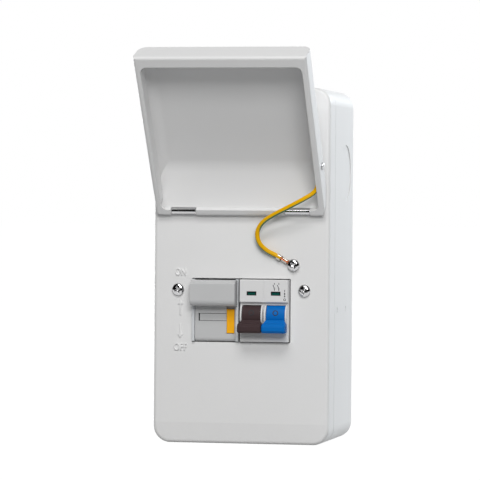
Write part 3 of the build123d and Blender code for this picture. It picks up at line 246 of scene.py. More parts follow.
@dataclass(frozen=True)
class Finish:
    """One surface finish.

    Attributes:
        name: the material's name.
        light: base colour where the drift is lightest.
        dark: base colour where the drift is darkest.
        grain: size of the fine relief, in metres.
        relief: depth of the fine relief, in metres.
        rough: lowest and highest roughness.
        metallic: 1 for bare or plated metal.
        coat: strength of a clear gloss over the colour.
        kind: even or brushed relief.
        nib_spacing: distance between paint specks, in metres, or 0 for none.
        nib_height: how far a speck stands out, in metres.
        nib_strength: how strongly a speck shows.
        specular: reflection level of a non-metal.
        edge: radius that shading gives to sharp edges, in metres.
        edge_samples: how many samples find those edges.
    """

    name: str
    light: Colour
    dark: Colour
    grain: float
    relief: float
    rough: tuple[float, float]
    metallic: float = 0.0
    coat: float = 0.0
    kind: Grain = Grain.EVEN
    nib_spacing: float = 0.0
    nib_height: float = 0.15 * MM
    nib_strength: float = 0.6
    specular: float = 0.5
    edge: float = 0.25 * MM
    edge_samples: int = 4

    def material(self) -> bpy.types.Material:
        """Build this finish's material, or return it if it is built already.

        Returns:
            The Blender material.
        """
        label = f"{self.name}_finish"
        built = bpy.data.materials.get(label)
        if built:
            return built
        built = bpy.data.materials.new(label)
        built.use_nodes = True
        tree = built.node_tree
        shader = tree.nodes["Principled BSDF"]
        shader.inputs["Metallic"].default_value = self.metallic
        shader.inputs["Coat Weight"].default_value = self.coat
        shader.inputs["Specular IOR Level"].default_value = self.specular
        values = {
            "Light": (*self.light, 1), "Dark": (*self.dark, 1), "Grain Scale": 1 / self.grain,
            "Rough Low": self.rough[0], "Rough High": self.rough[1],
        }
        group = NodeGroups.surface(self.kind)
        surface = NodeGroups.node(tree, "ShaderNodeGroup", values, node_tree=group)
        bump = NodeGroups.node(tree, "ShaderNodeBump", {"Strength": 1.0, "Distance": self.relief})
        soft = NodeGroups.node(tree, "ShaderNodeBevel", {"Radius": self.edge}, samples=self.edge_samples)
        last = self._add_nibs(tree, bump) if self.nib_spacing else bump
        NodeGroups.wire(
            tree,
            (surface, "Color", shader, "Base Color"),
            (surface, "Roughness", shader, "Roughness"),
            (surface, "Height", bump, "Height"),
            (bump, "Normal", shader, "Normal"),
            (soft, "Normal", last, "Normal"),
        )
        return built

    def _add_nibs(self, tree: bpy.types.NodeTree, grain: bpy.types.Node) -> bpy.types.Node:
        """Raise sparse specks under the grain.

        Args:
            tree: the material's nodes and links.
            grain: the bump node of the grain.

        Returns:
            The bump node of the specks.
        """
        spacing = {"Spacing Scale": 1 / self.nib_spacing}
        specks = NodeGroups.node(tree, "ShaderNodeGroup", spacing, node_tree=NodeGroups.nibs())
        stand = {"Strength": self.nib_strength, "Distance": self.nib_height}
        raised = NodeGroups.node(tree, "ShaderNodeBump", stand)
        NodeGroups.wire(tree, (specks, "Mask", raised, "Height"), (raised, "Normal", grain, "Normal"))
        return raised


POWDER_COAT = Finish(
    "powder_coat", (0.80, 0.80, 0.80), (0.78, 0.781, 0.783), 0.9 * MM, 0.010 * MM, (0.36, 0.46),
    nib_spacing=26 * MM, specular=0.4, edge=0.35 * MM,
)
BRIGHT_PLATE = Finish(
    "bright_plate", (0.62, 0.62, 0.625), (0.50, 0.50, 0.51), 0.5 * MM, 0.004 * MM, (0.07, 0.16),
    metallic=1.0, edge=0.15 * MM,
)
ZINC_PLATE = Finish(
    "zinc_plate", (0.66, 0.67, 0.68), (0.54, 0.55, 0.56), 0.4 * MM, 0.003 * MM, (0.24, 0.36),
    metallic=1.0, kind=Grain.BRUSHED,
)
TINNED = Finish(
    "tinned_crimp", (0.74, 0.70, 0.64), (0.56, 0.52, 0.47), 0.3 * MM, 0.004 * MM, (0.16, 0.32),
    metallic=1.0, edge=0.1 * MM,
)
COPPER = Finish(
    "bare_copper", (0.72, 0.30, 0.16), (0.50, 0.18, 0.09), 0.3 * MM, 0.003 * MM, (0.22, 0.34),
    metallic=1.0, kind=Grain.BRUSHED,
)
BRASS = Finish(
    "turned_brass", (0.72, 0.56, 0.24), (0.58, 0.43, 0.16), 0.4 * MM, 0.003 * MM, (0.20, 0.32),
    metallic=1.0, kind=Grain.BRUSHED,
)
SILVER = Finish(
    "silver_plate", (0.80, 0.79, 0.76), (0.73, 0.72, 0.69), 0.4 * MM, 0.0015 * MM, (0.24, 0.32),
    metallic=1.0, kind=Grain.BRUSHED,
)
CERAMIC = Finish(
    "link_ceramic", (0.82, 0.80, 0.74), (0.76, 0.73, 0.67), 1.2 * MM, 0.02 * MM, (0.18, 0.30), coat=0.3
)
SWITCH_GREY = Finish(
    "switch_grey", (0.75, 0.75, 0.75), (0.71, 0.71, 0.715), 0.25 * MM, 0.008 * MM, (0.36, 0.50)
)
FUSE_GREY = Finish(
    "fuse_grey", (0.68, 0.70, 0.72), (0.63, 0.65, 0.67), 0.25 * MM, 0.008 * MM, (0.34, 0.48)
)
CARRIER_GREY = Finish(
    "carrier_grey", (0.57, 0.575, 0.58), (0.53, 0.535, 0.54), 0.25 * MM, 0.01 * MM, (0.36, 0.52)
)
TOGGLE_BROWN = Finish(
    "toggle_brown", (0.063, 0.039, 0.041), (0.050, 0.031, 0.033), 0.25 * MM, 0.01 * MM, (0.38, 0.55),
    specular=0.12,
)
TOGGLE_BLUE = Finish(
    "toggle_blue", (0.0, 0.155, 0.53), (0.0, 0.135, 0.48), 0.25 * MM, 0.01 * MM, (0.36, 0.52), specular=0.12
)
LOCK_AMBER = Finish(
    "lock_amber", (1.0, 0.47, 0.014), (0.95, 0.44, 0.012), 0.3 * MM, 0.008 * MM, (0.30, 0.44), specular=0.12
)
FLAG_GREEN = Finish(
    "flag_green", (0.0, 0.14, 0.11), (0.0, 0.12, 0.09), 0.3 * MM, 0.005 * MM, (0.30, 0.44), specular=0.2
)
CLIP_GREY = Finish("clip_grey", (0.12, 0.12, 0.13), (0.09, 0.09, 0.10), 0.3 * MM, 0.01 * MM, (0.40, 0.55))
BLACK_TRIM = Finish(
    "black_trim", (0.012, 0.012, 0.013), (0.008, 0.008, 0.009), 0.3 * MM, 0.006 * MM, (0.40, 0.55),
    specular=0.3,
)
PRINT_INK = Finish(
    "print_ink", (0.035, 0.035, 0.04), (0.025, 0.025, 0.03), 0.2 * MM, 0.003 * MM, (0.45, 0.60),
    specular=0.3, edge=0.02 * MM,
)
SHEATH_YELLOW = Finish(
    "sheath_yellow", (0.84, 0.45, 0.0), (0.76, 0.40, 0.0), 0.5 * MM, 0.012 * MM, (0.26, 0.36),
    specular=0.15, edge=0.05 * MM,
)
SHEATH_GREEN = Finish(
    "sheath_green", (0.035, 0.17, 0.05), (0.025, 0.13, 0.04), 0.5 * MM, 0.012 * MM, (0.28, 0.40),
    edge=0.05 * MM,
)

NODE_FINISHES: dict[Finish, tuple[str, ...]] = {
    POWDER_COAT: ("base_box", "front_cover", "lid"),
    BRIGHT_PLATE: (
        "hinge_leaf_left", "hinge_leaf_right", "hinge_pins", "cover_screws", "cover_earth_screw",
        "lid_earth_screw",
    ),
    ZINC_PLATE: (
        "rail_bracket", "din_rail", "rail_screws", "cover_pillars", "cover_earth_nut", "lid_earth_nut",
        "switch_terminal_screws", "fuse_terminal_screws", "earth_bar_pillars", "carrier_pivot",
        "switch_shaft", "handle_tie_pin",
    ),
    TINNED: ("cover_ring_terminal", "lid_ring_terminal", "switch_terminals", "fuse_terminals"),
    SHEATH_YELLOW: ("earth_lead",),
    SWITCH_GREY: ("switch_body",),
    TOGGLE_BROWN: ("switch_handle_brown",),
    TOGGLE_BLUE: ("switch_handle_blue",),
    FLAG_GREEN: ("indicator_flags",),
    FUSE_GREY: ("fuse_base",),
    CARRIER_GREY: ("fuse_carrier",),
    LOCK_AMBER: ("carrier_lock",),
    CLIP_GREY: ("switch_rail_clip", "fuse_rail_clip"),
    CERAMIC: ("fuse_link_body",),
    SILVER: ("fuse_link_caps", "fuse_contact_upper", "fuse_contact_lower"),
    COPPER: ("link_strap",),
    BRASS: ("earth_bar", "earth_bar_screws"),
}


class Maker:
    """Mesh and object helpers that every sub-assembly uses."""

    CREASE = math.radians(32)
    ON_AXIS = 1e-9
    BEVEL_STEPS = 2
    LETTER_STEPS = 6

    @staticmethod
    def link(name: str, data: bpy.types.ID) -> bpy.types.Object:
        """Put a new object with its data into the scene.

        Args:
            name: the object's name.
            data: its mesh, curve, lamp or camera.

        Returns:
            The new object.
        """
        obj = bpy.data.objects.new(name, data)
        bpy.context.scene.collection.objects.link(obj)
        return obj

    @staticmethod
    def piece(
        name: str, mesh: bpy.types.Mesh, finish: Finish, body: Body, slot: str, stands_for: str = ""
    ) -> None:
        """Turn a finished mesh into a piece that rides on a body.

        Args:
            name: the piece's name.
            mesh: its mesh, in the row frame.
            finish: its finish.
            body: the body it moves with.
            slot: the record's material slot; not used.
            stands_for: the node that it replaces, if any.
        """
        obj = Maker.link(name, mesh)
        mesh.materials.append(finish.material())
        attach(obj, body.value)
        if stands_for:
            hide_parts(stands_for)
        LOG.info("piece %s: %d faces on %s", name, len(mesh.polygons), body.value)

    @staticmethod
    def from_bmesh(name: str, build: bmesh.types.BMesh, place: Matrix | None = None) -> bpy.types.Mesh:
        """Finish a bmesh as a smooth-shaded mesh with sharp creases kept.

        Args:
            name: the mesh's name.
            build: the bmesh, which is freed.
            place: where the mesh goes in the row frame.

        Returns:
            The mesh.
        """
        if place is not None:
            build.transform(place)
        bmesh.ops.recalc_face_normals(build, faces=build.faces)
        for edge in build.edges:
            edge.smooth = len(edge.link_faces) == 2 and edge.calc_face_angle(0.0) < Maker.CREASE
        for face in build.faces:
            face.smooth = True
        mesh = bpy.data.meshes.new(name)
        build.to_mesh(mesh)
        build.free()
        return mesh

    @staticmethod
    def circle(radius: float, segments: int) -> Profile:
        """The corners of a circle."""
        turn = [2 * math.pi * i / segments for i in range(segments)]
        return [(radius * math.cos(a), radius * math.sin(a)) for a in turn]

    @staticmethod
    def rectangle(wide: float, high: float) -> Profile:
        """The corners of a rectangle round the origin."""
        x, y = wide / 2, high / 2
        return [(-x, -y), (x, -y), (x, y), (-x, y)]

    @staticmethod
    def skin(build: bmesh.types.BMesh, loops: Sequence[Loop], closed: bool = False) -> None:
        """Join each loop of vertices to the next one with faces.

        Args:
            build: the bmesh that holds the loops.
            loops: the loops, where a loop of one vertex is a point.
            closed: whether the last loop joins the first, as on a ring.
        """
        count = max(len(loop) for loop in loops)
        pairs = list(zip(loops, loops[1:])) + ([(loops[-1], loops[0])] if closed else [])
        for low, high in pairs:
            for i in range(count):
                j = (i + 1) % count
                corners = (low[i % len(low)], low[j % len(low)], high[j % len(high)], high[i % len(high)])
                unique = list(dict.fromkeys(corners))
                if len(unique) > 2:
                    build.faces.new(unique)

    @staticmethod
    def lathe(profile: Profile, segments: int, closed: bool = False) -> bmesh.types.BMesh:
        """Turn a profile about the local Z axis.

        Args:
            profile: radius and height of each point, from one end to the other.
            segments: how many steps make a full turn.
            closed: whether the last point joins the first, as on a ring.

        Returns:
            The turned bmesh, with its ends capped where they lie on the axis.
        """
        build = bmesh.new()
        rings: list[Loop] = []
        for radius, height in profile:
            corners = [(0, 0)] if radius < Maker.ON_AXIS else Maker.circle(radius, segments)
            rings.append([build.verts.new((x, y, height)) for x, y in corners])
        Maker.skin(build, rings, closed)
        return build

    @staticmethod
    def prism(outline: Profile, depth: float, bevel: float = 0.0) -> bmesh.types.BMesh:
        """Raise a flat outline along the local Z axis.

        Args:
            outline: the outline's corners on the local XY plane.
            depth: how far it is raised.
            bevel: width of the bevel round its upper edge.

        Returns:
            The raised bmesh.
        """
        build = bmesh.new()
        face = build.faces.new([build.verts.new((x, y, 0)) for x, y in outline])
        raised = bmesh.ops.extrude_face_region(build, geom=[face])
        tops = [v for v in raised["geom"] if isinstance(v, bmesh.types.BMVert)]
        bmesh.ops.translate(build, verts=tops, vec=(0, 0, depth))
        if bevel:
            upper = [e for e in build.edges if all(v.co.z > depth / 2 for v in e.verts)]
            bmesh.ops.bevel(
                build, geom=upper, offset=bevel, segments=Maker.BEVEL_STEPS, affect="EDGES", profile=0.5
            )
        return build

    @staticmethod
    def sweep(path: Sequence[Vector], outline: Profile, side: Vector) -> bmesh.types.BMesh:
        """Sweep a closed outline along a path, with one side turned the same way all along.

        Args:
            path: the points of the path.
            outline: the outline's corners, across the path and along side.
            side: the direction that the outline's second coordinate keeps to.

        Returns:
            The swept bmesh, with both ends closed.
        """
        build = bmesh.new()
        rings: list[Loop] = []
        for index, point in enumerate(path):
            ahead = path[min(index + 1, len(path) - 1)] - path[max(index - 1, 0)]
            ahead.normalize()
            lift = (side - ahead * side.dot(ahead)).normalized()
            across = lift.cross(ahead)
            rings.append([build.verts.new(point + across * x + lift * y) for x, y in outline])
        Maker.skin(build, rings)
        build.faces.new(rings[0])
        build.faces.new(rings[-1])
        return build

    @staticmethod
    def basis(origin: Vector, x_dir: Vector, z_dir: Vector) -> Matrix:
        """The matrix that takes local axes to a place in the row frame.

        Args:
            origin: where the local origin goes.
            x_dir: where the local X axis points.
            z_dir: where the local Z axis points.

        Returns:
            A 4 by 4 matrix.
        """
        along = x_dir.normalized()
        out = z_dir.normalized()
        turn = Matrix((along, out.cross(along), out)).transposed()
        return Matrix.Translation(origin) @ turn.to_4x4()

    @staticmethod
    def facing_front(x: float, y: float, z: float) -> Matrix:
        """A place whose local +X is to the right and whose local +Z is to the front."""
        return Maker.basis(Vector((x, y, z)), RIGHT, FRONT)

    @staticmethod
    def turned(degrees: float) -> Matrix:
        """A turn about the local Z axis."""
        return Matrix.Rotation(math.radians(degrees), 4, "Z")

    @staticmethod
    def join(builds: Iterable[bmesh.types.BMesh]) -> bmesh.types.BMesh:
        """Put several bmeshes into one, and free them.

        Args:
            builds: the bmeshes.

        Returns:
            One bmesh that holds them all.
        """
        whole = bmesh.new()
        for build in builds:
            mesh = bpy.data.meshes.new("joining")
            build.to_mesh(mesh)
            build.free()
            whole.from_mesh(mesh)
            bpy.data.meshes.remove(mesh)
        return whole

    @staticmethod
    def curve_mesh(name: str, curve: bpy.types.Curve) -> bpy.types.Mesh:
        """Turn a curve into a mesh.

        Args:
            name: the name of the object that holds the curve for a moment.
            curve: the curve, which is removed.

        Returns:
            The mesh that the curve shows.
        """
        holder = Maker.link(name, curve)
        shown = holder.evaluated_get(bpy.context.evaluated_depsgraph_get())
        mesh = bpy.data.meshes.new_from_object(shown)
        bpy.data.objects.remove(holder)
        bpy.data.curves.remove(curve)
        return mesh

    @staticmethod
    def lettering(
        name: str, words: str, size: float, wide: float, raised: float, bevel: float
    ) -> bpy.types.Mesh:
        """Raised letters, centred on the local origin and facing local +Z.

        Args:
            name: the mesh's name.
            words: the letters.
            size: the letters' em size.
            wide: the word's width.
            raised: how far they stand out.
            bevel: the rounding of their upper edge.

        Returns:
            The letters' mesh.
        """
        curve = bpy.data.curves.new(name, "FONT")
        curve.body = words
        curve.size = size
        curve.align_x = "CENTER"
        curve.align_y = "CENTER"
        curve.extrude = raised - bevel
        curve.bevel_depth = bevel
        curve.bevel_resolution = Maker.BEVEL_STEPS
        curve.resolution_u = Maker.LETTER_STEPS
        mesh = Maker.curve_mesh(name, curve)
        across = [vert.co.x for vert in mesh.vertices]
        mesh.transform(Matrix.Scale(wide / (max(across) - min(across)), 4, RIGHT))
        return mesh


@dataclass(frozen=True)
class Lamp:
    """One rectangular lamp.

    Attributes:
        name: the lamp's name.
        place: where it stands, in metres.
        size: its width and height, in metres.
        watts: its power.
        colour: its colour.
    """

    name: str
    place: Point
    size: tuple[float, float]
    watts: float
    colour: Colour = (1.0, 0.995, 0.99)

    def build(self, target: Vector) -> None:
        """Put the lamp into the scene.

        Args:
            target: the place that it points at.
        """
        data = bpy.data.lights.new(self.name, "AREA")
        data.shape = "RECTANGLE"
        data.size, data.size_y = self.size
        data.energy = self.watts
        data.color = self.colour
        lamp = Maker.link(self.name, data)
        aim = (target - Vector(self.place)).to_track_quat("-Z", "Y")
        lamp.matrix_world = Matrix.Translation(self.place) @ aim.to_matrix().to_4x4()


@dataclass
class Studio:
    """Floor, light and camera.

    Attributes:
        eye: where the camera stands, in the row frame.
        yaw: how far the camera is turned to the left, in degrees.
        pitch: how far it looks down, in degrees.
        roll: how far it is tipped, in degrees.
        lens: focal length, in millimetres.
        sensor: width of the sensor, in millimetres.
        far: how far the camera sees, in metres.
        lamps: a front key, one high in front, a cool one at the right and a fill behind.
        target: what the lamps point at.
        sky: colour of the even light from all round.
        ambient: strength of that light.
        floor_size: side of the square floor.
        floor_grey: the floor's own colour.
        floor_rough: the floor's roughness.
        floor_glow: brightness of the floor as the camera and metal see it.
        floor_share: how much of what they see of the floor is glow, so that the rest can hold a shadow.
        room_wide: half the width of the dark room.
        room_reach: where the dark room ends behind the camera and past the object.
        room_high: height of its ceiling.
        room_floor_end: where its floor ends in front of the object.
        room_floor_lift: how far its floor lies above the floor.
        room_grey: colour of its walls.
        room_rough: their roughness.
    """

    eye: Vector = field(default_factory=lambda: Vector((0.4875, -2.3789, 0.0411)))
    yaw: float = 12.076
    pitch: float = 0.547
    roll: float = 0.397
    lens: float = 241.83
    sensor: float = 36.0
    far: float = 200.0
    lamps: tuple[Lamp, ...] = (
        Lamp("front_key", (0.65, -2.15, 0.92), (0.9, 0.65), 23.5, (1.0, 0.995, 0.985)),
        Lamp("top_front", (0.15, -1.65, 1.72), (1.1, 0.7), 20.8),
        Lamp("right_side", (0.8, 0.85, 0.5), (0.5, 0.5), 11.5, (0.90, 0.957, 1.0)),
        Lamp("rear_fill", (-1.6, 1.4, 0.35), (1.2, 1.2), 26.0),
    )
    target: Vector = field(default_factory=lambda: Vector((0, -0.07, 0.02)))
    sky: Colour = (0.96, 0.98, 1.0)
    ambient: float = 0.13
    floor_size: float = 60.0
    floor_grey: float = 0.36
    floor_rough: float = 0.9
    floor_glow: float = 1.16
    floor_share: float = 0.86
    room_wide: float = 3.6
    room_reach: tuple[float, float] = (-3.4, 0.6)
    room_high: float = 2.6
    room_floor_end: float = -0.6
    room_floor_lift: float = 1.0 * MM
    room_grey: float = 0.03
    room_rough: float = 1.0

    def build(self) -> None:
        """Make the whole studio."""
        self._camera()
        self._world()
        self._floor()
        for lamp in self.lamps:
            lamp.build(self.target)
        self._dark_room()
        bpy.context.scene.view_settings.view_transform = "Standard"

    def _camera(self) -> None:
        """Place the camera where the photograph was taken from."""
        yaw, pitch, roll = (math.radians(a) for a in (self.yaw, self.pitch, self.roll))
        forward = Vector(
            (-math.sin(yaw) * math.cos(pitch), math.cos(yaw) * math.cos(pitch), -math.sin(pitch))
        )
        right = Vector((math.cos(yaw), math.sin(yaw), 0))
        up = right.cross(forward)
        right_rolled = right * math.cos(roll) + up * math.sin(roll)
        up_rolled = up * math.cos(roll) - right * math.sin(roll)
        data = bpy.data.cameras.new("camera")
        data.lens = self.lens
        data.sensor_width = self.sensor
        data.clip_end = self.far
        camera = Maker.link("camera", data)
        turn = Matrix((right_rolled, up_rolled, -forward)).transposed()
        camera.matrix_world = Matrix.Translation(self.eye) @ turn.to_4x4()
        bpy.context.scene.camera = camera

    def _world(self) -> None:
        """Even pale light, with plain white behind the object."""
        world = bpy.data.worlds.new("studio")
        bpy.context.scene.world = world
        world.use_nodes = True
        tree = world.node_tree
        even = tree.nodes["Background"]
        even.inputs["Color"].default_value = (*self.sky, 1)
        even.inputs["Strength"].default_value = self.ambient
        white = NodeGroups.node(tree, "ShaderNodeBackground", {"Color": (1, 1, 1, 1)})
        pick = NodeGroups.node(tree, "ShaderNodeMixShader")
        NodeGroups.wire(
            tree,
            (self._seen(tree), "Value", pick, "Fac"),
            (even, "Background", pick, 1),
            (white, "Background", pick, 2),
            (pick, "Shader", tree.nodes["World Output"], "Surface"),
        )

    @staticmethod
    def _seen(tree: bpy.types.NodeTree) -> bpy.types.Node:
        """A node whose value is 1 for rays from the camera, mirrors and glass.

        Args:
            tree: the tree that it goes into.

        Returns:
            The node to use as a mix factor.
        """
        path = NodeGroups.node(tree, "ShaderNodeLightPath")
        first = NodeGroups.node(tree, "ShaderNodeMath", operation="ADD")
        both = NodeGroups.node(tree, "ShaderNodeMath", operation="ADD", use_clamp=True)
        NodeGroups.wire(
            tree,
            (path, "Is Camera Ray", first, 0),
            (path, "Is Glossy Ray", first, 1),
            (first, "Value", both, 0),
            (path, "Is Transmission Ray", both, 1),
        )
        return both

    @staticmethod
    def _sheet(
        name: str, corners: Sequence[Point], faces: Sequence[tuple[int, ...]], grey: float, rough: float
    ) -> tuple[bpy.types.Object, bpy.types.Material]:
        """Make flat sheets of one dull grey for the stage.

        Args:
            name: the object's name.
            corners: the corners of the sheets.
            faces: the corners of each sheet, by number.
            grey: the sheets' colour.
            rough: their roughness.

        Returns:
            The object and its material.
        """
        mesh = bpy.data.meshes.new(name)
        mesh.from_pydata(corners, [], faces)
        sheet = Maker.link(name, mesh)
        material = bpy.data.materials.new(f"{name}_grey")
        material.use_nodes = True
        shader = material.node_tree.nodes["Principled BSDF"]
        shader.inputs["Base Color"].default_value = (grey, grey, grey, 1)
        shader.inputs["Roughness"].default_value = rough
        shader.inputs["Specular IOR Level"].default_value = 0.0
        mesh.materials.append(material)
        return sheet, material

    def _floor(self) -> None:
        """A plain pale floor under the box, which keeps a soft shadow."""
        square = Maker.rectangle(self.floor_size, self.floor_size)
        corners = [(x, y, CAD_BOX[0].z) for x, y in square]
        floor, material = self._sheet("floor", corners, [(0, 1, 2, 3)], self.floor_grey, self.floor_rough)
        tree = material.node_tree
        glow = NodeGroups.node(tree, "ShaderNodeEmission", {"Strength": self.floor_glow})
        share = NodeGroups.node(tree, "ShaderNodeMath", {1: self.floor_share}, operation="MULTIPLY")
        pick = NodeGroups.node(tree, "ShaderNodeMixShader")
        NodeGroups.wire(
            tree,
            (self._seen(tree), "Value", share, 0),
            (share, "Value", pick, "Fac"),
            (tree.nodes["Principled BSDF"], "BSDF", pick, 1),
            (glow, "Emission", pick, 2),
            (pick, "Shader", tree.nodes["Material Output"], "Surface"),
        )

    def _dark_room(self) -> None:
        """Dark walls, ceiling and floor round the camera, seen only as reflections in gloss and metal."""
        wide, (back, front) = self.room_wide, self.room_reach
        low, high = CAD_BOX[0].z, self.room_high
        turn = [(-wide, front), (-wide, back), (wide, back), (wide, front)]
        corners = [(x, y, z) for x, y in turn for z in (low, high)]
        ends = [(-wide, back), (wide, back), (wide, self.room_floor_end), (-wide, self.room_floor_end)]
        corners += [(x, y, low + self.room_floor_lift) for x, y in ends]
        faces = [(0, 2, 3, 1), (2, 4, 5, 3), (4, 6, 7, 5), (1, 3, 5, 7), (8, 9, 10, 11)]
        room, _ = self._sheet("dark_room", corners, faces, self.room_grey, self.room_rough)
        room.visible_camera = False
        room.visible_diffuse = False
        room.visible_shadow = False
        room.visible_transmission = False


@dataclass
class Enclosure:
    """Box, cover, lid and all inner metal: finishes, and the raised marks on the cover.

    Attributes:
        mark_x: middle of the column of marks at the left of the opening.
        letter_size: em size of the raised letters.
        mark_height: how far the marks stand out.
        mark_bevel: rounding of their upper edges.
        on: middle height and width of the upper word.
        off: middle height and width of the lower word.
        up_arrow: lower and upper end of the upper arrow.
        down_arrow: lower and upper end of the lower arrow.
        arrow_head: half the width and the length of an arrow's head.
        arrow_stem: half the width of its stem.
    """

    mark_x: float = -45.0 * MM
    letter_size: float = 7.4 * MM
    mark_height: float = 0.75 * MM
    mark_bevel: float = 0.16 * MM
    on: tuple[float, float] = (-4.9 * MM, 8.0 * MM)
    off: tuple[float, float] = (-59.5 * MM, 9.8 * MM)
    up_arrow: tuple[float, float] = (-36.0 * MM, -25.0 * MM)
    down_arrow: tuple[float, float] = (-52.9 * MM, -42.7 * MM)
    arrow_head: tuple[float, float] = (2.0 * MM, 3.2 * MM)
    arrow_stem: float = 0.6 * MM

    @staticmethod
    def dress() -> None:
        """Give every CAD node its finish."""
        for finish, names in NODE_FINISHES.items():
            for name in names:
                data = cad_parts[name].data
                data.materials.clear()
                data.materials.append(finish.material())
                LOG.info("node %s: %s", name, finish.name)

    def build(self) -> None:
        """Raise the words and arrows beside the opening."""
        for name, words, (level, wide) in (("mark_on", "ON", self.on), ("mark_off", "OFF", self.off)):
            mesh = Maker.lettering(name, words, self.letter_size, wide, self.mark_height, self.mark_bevel)
            mesh.transform(self._on_cover(level))
            Maker.piece(name, mesh, POWDER_COAT, Body.ENCLOSURE, "enclosure_paint")
        for name, (low, high), turn in (
            ("mark_arrow_up", self.up_arrow, 0.0), ("mark_arrow_down", self.down_arrow, 180.0)
        ):
            build = Maker.prism(self._arrow(high - low), self.mark_height, self.mark_bevel)
            place = self._on_cover((low + high) / 2) @ Maker.turned(turn)
            mesh = Maker.from_bmesh(name, build, place)
            Maker.piece(name, mesh, POWDER_COAT, Body.ENCLOSURE, "enclosure_paint")

    def _on_cover(self, level: float) -> Matrix:
        """Where a mark with its middle at a level sits on the cover, facing the front."""
        return Maker.facing_front(self.mark_x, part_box("front_cover")[0].y, level)

    def _arrow(self, length: float) -> Profile:
        """An arrow that points along local +Y.

        Args:
            length: its length from tail to tip.

        Returns:
            Its outline.
        """
        tip = length / 2
        wide, long = self.arrow_head
        neck, stem = tip - long, self.arrow_stem
        return [
            (-stem, -tip), (stem, -tip), (stem, neck), (wide, neck), (0, tip), (-wide, neck), (-stem, neck)
        ]


@dataclass(frozen=True)
class PanScrew:
    """A pan-head screw with a cross recess and a rolled thread.

    Attributes:
        head_d: across the head.
        head_h: height of the head above its seat.
        head_edge: height of the head's edge, as a share of its height.
        head_seat: width of the seat, as a share of the head's.
        dome: how flat the dome is, from 2 for a round one.
        head_steps: steps round the head and from its edge to its middle.
        shank_d: across the thread's crests.
        length: from the seat to the tip.
        pitch: distance between the thread's turns.
        thread_deep: depth of the thread, as a share of the pitch.
        tip: width of the tip, as a share of the shank's.
        thread_steps: steps round the thread and along one turn of it.
        arm: length of one arm of the recess, from the middle.
        arm_w: width of an arm.
        arm_taper: how much narrower an arm is at its end, as a share.
        recess: depth of the recess in the middle.
        recess_rise: how much shallower an arm is at its end, as a share.
        recess_slope: width of the slope at an arm's sides and at its end.
    """

    head_d: float = 9.0 * MM
    head_h: float = 2.8 * MM
    head_edge: float = 0.28
    head_seat: float = 0.94
    dome: float = 2.6
    head_steps: tuple[int, int] = (96, 44)
    shank_d: float = 4.0 * MM
    length: float = 12.0 * MM
    pitch: float = 0.7 * MM
    thread_deep: float = 0.55
    tip: float = 0.62
    thread_steps: tuple[int, int] = (28, 8)
    arm: float = 2.55 * MM
    arm_w: float = 1.05 * MM
    arm_taper: float = 0.25
    recess: float = 1.7 * MM
    recess_rise: float = 0.45
    recess_slope: tuple[float, float] = (0.16 * MM, 0.3 * MM)

    def build(self, place: Matrix) -> bmesh.types.BMesh:
        """Make the screw.

        Args:
            place: where its seat goes, with local +Z out of the head.

        Returns:
            Head and thread as one bmesh.
        """
        screw = Maker.join([self._head(), self._thread()])
        screw.transform(place)
        return screw

    def _head(self) -> bmesh.types.BMesh:
        """The domed head, as rings from the seat to the middle of the recess.

        Returns:
            The head, closed underneath.
        """
        rim = self.head_d / 2
        around, rings = self.head_steps
        build = bmesh.new()
        seat = Maker.circle(rim * self.head_seat, around)
        loops: list[Loop] = [[build.verts.new((x, y, 0)) for x, y in seat]]
        for ring in range(rings):
            radius = rim * (1 - ring / rings)
            loops.append([
                build.verts.new((x, y, self._crown(radius) - self._cross(x, y)))
                for x, y in Maker.circle(radius, around)
            ])
        loops.append([build.verts.new((0, 0, self._crown(0) - self._cross(0, 0)))])
        Maker.skin(build, loops)
        build.faces.new(loops[0])
        return build

    def _crown(self, radius: float) -> float:
        """Height of the head's dome at a radius."""
        share = min(1.0, 2 * radius / self.head_d)
        return self.head_h * (self.head_edge + (1 - self.head_edge) * math.sqrt(1 - share ** self.dome))

    def _cross(self, x: float, y: float) -> float:
        """Depth of the recess at a point of the head.

        Args:
            x: place along one pair of arms.
            y: place along the other pair.

        Returns:
            How far the surface lies below the dome.
        """
        depth = 0.0
        side_slope, end_slope = self.recess_slope
        for along, across in ((abs(x), abs(y)), (abs(y), abs(x))):
            out = along / self.arm
            width = self.arm_w / 2 * (1 - self.arm_taper * out)
            inside = min((width - across) / side_slope, (self.arm - along) / end_slope)
            share = max(0.0, min(1.0, 0.5 + inside))
            depth = max(depth, share * self.recess * (1 - self.recess_rise * out))
        return depth

    def _thread(self) -> bmesh.types.BMesh:
        """The thread below the seat, with a plain cone at its tip.

        Returns:
            The thread, closed at its tip.
        """
        around, steps = self.thread_steps
        crest = self.shank_d / 2
        count = int(self.length / self.pitch * steps)
        build = bmesh.new()
        loops: list[Loop] = []
        for row in range(count + 1):
            height = -self.length * row / count
            loop: Loop = []
            for i in range(around):
                turn = 2 * math.pi * i / around
                wave = abs(((height / self.pitch - i / around) % 1.0) * 2 - 1)
                radius = min(
                    crest - self.thread_deep * self.pitch * wave, crest * self.tip + (self.length + height)
                )
                loop.append(build.verts.new((radius * math.cos(turn), radius * math.sin(turn), height)))
            loops.append(loop)
        Maker.skin(build, loops)
        build.faces.new(loops[-1])
        return build


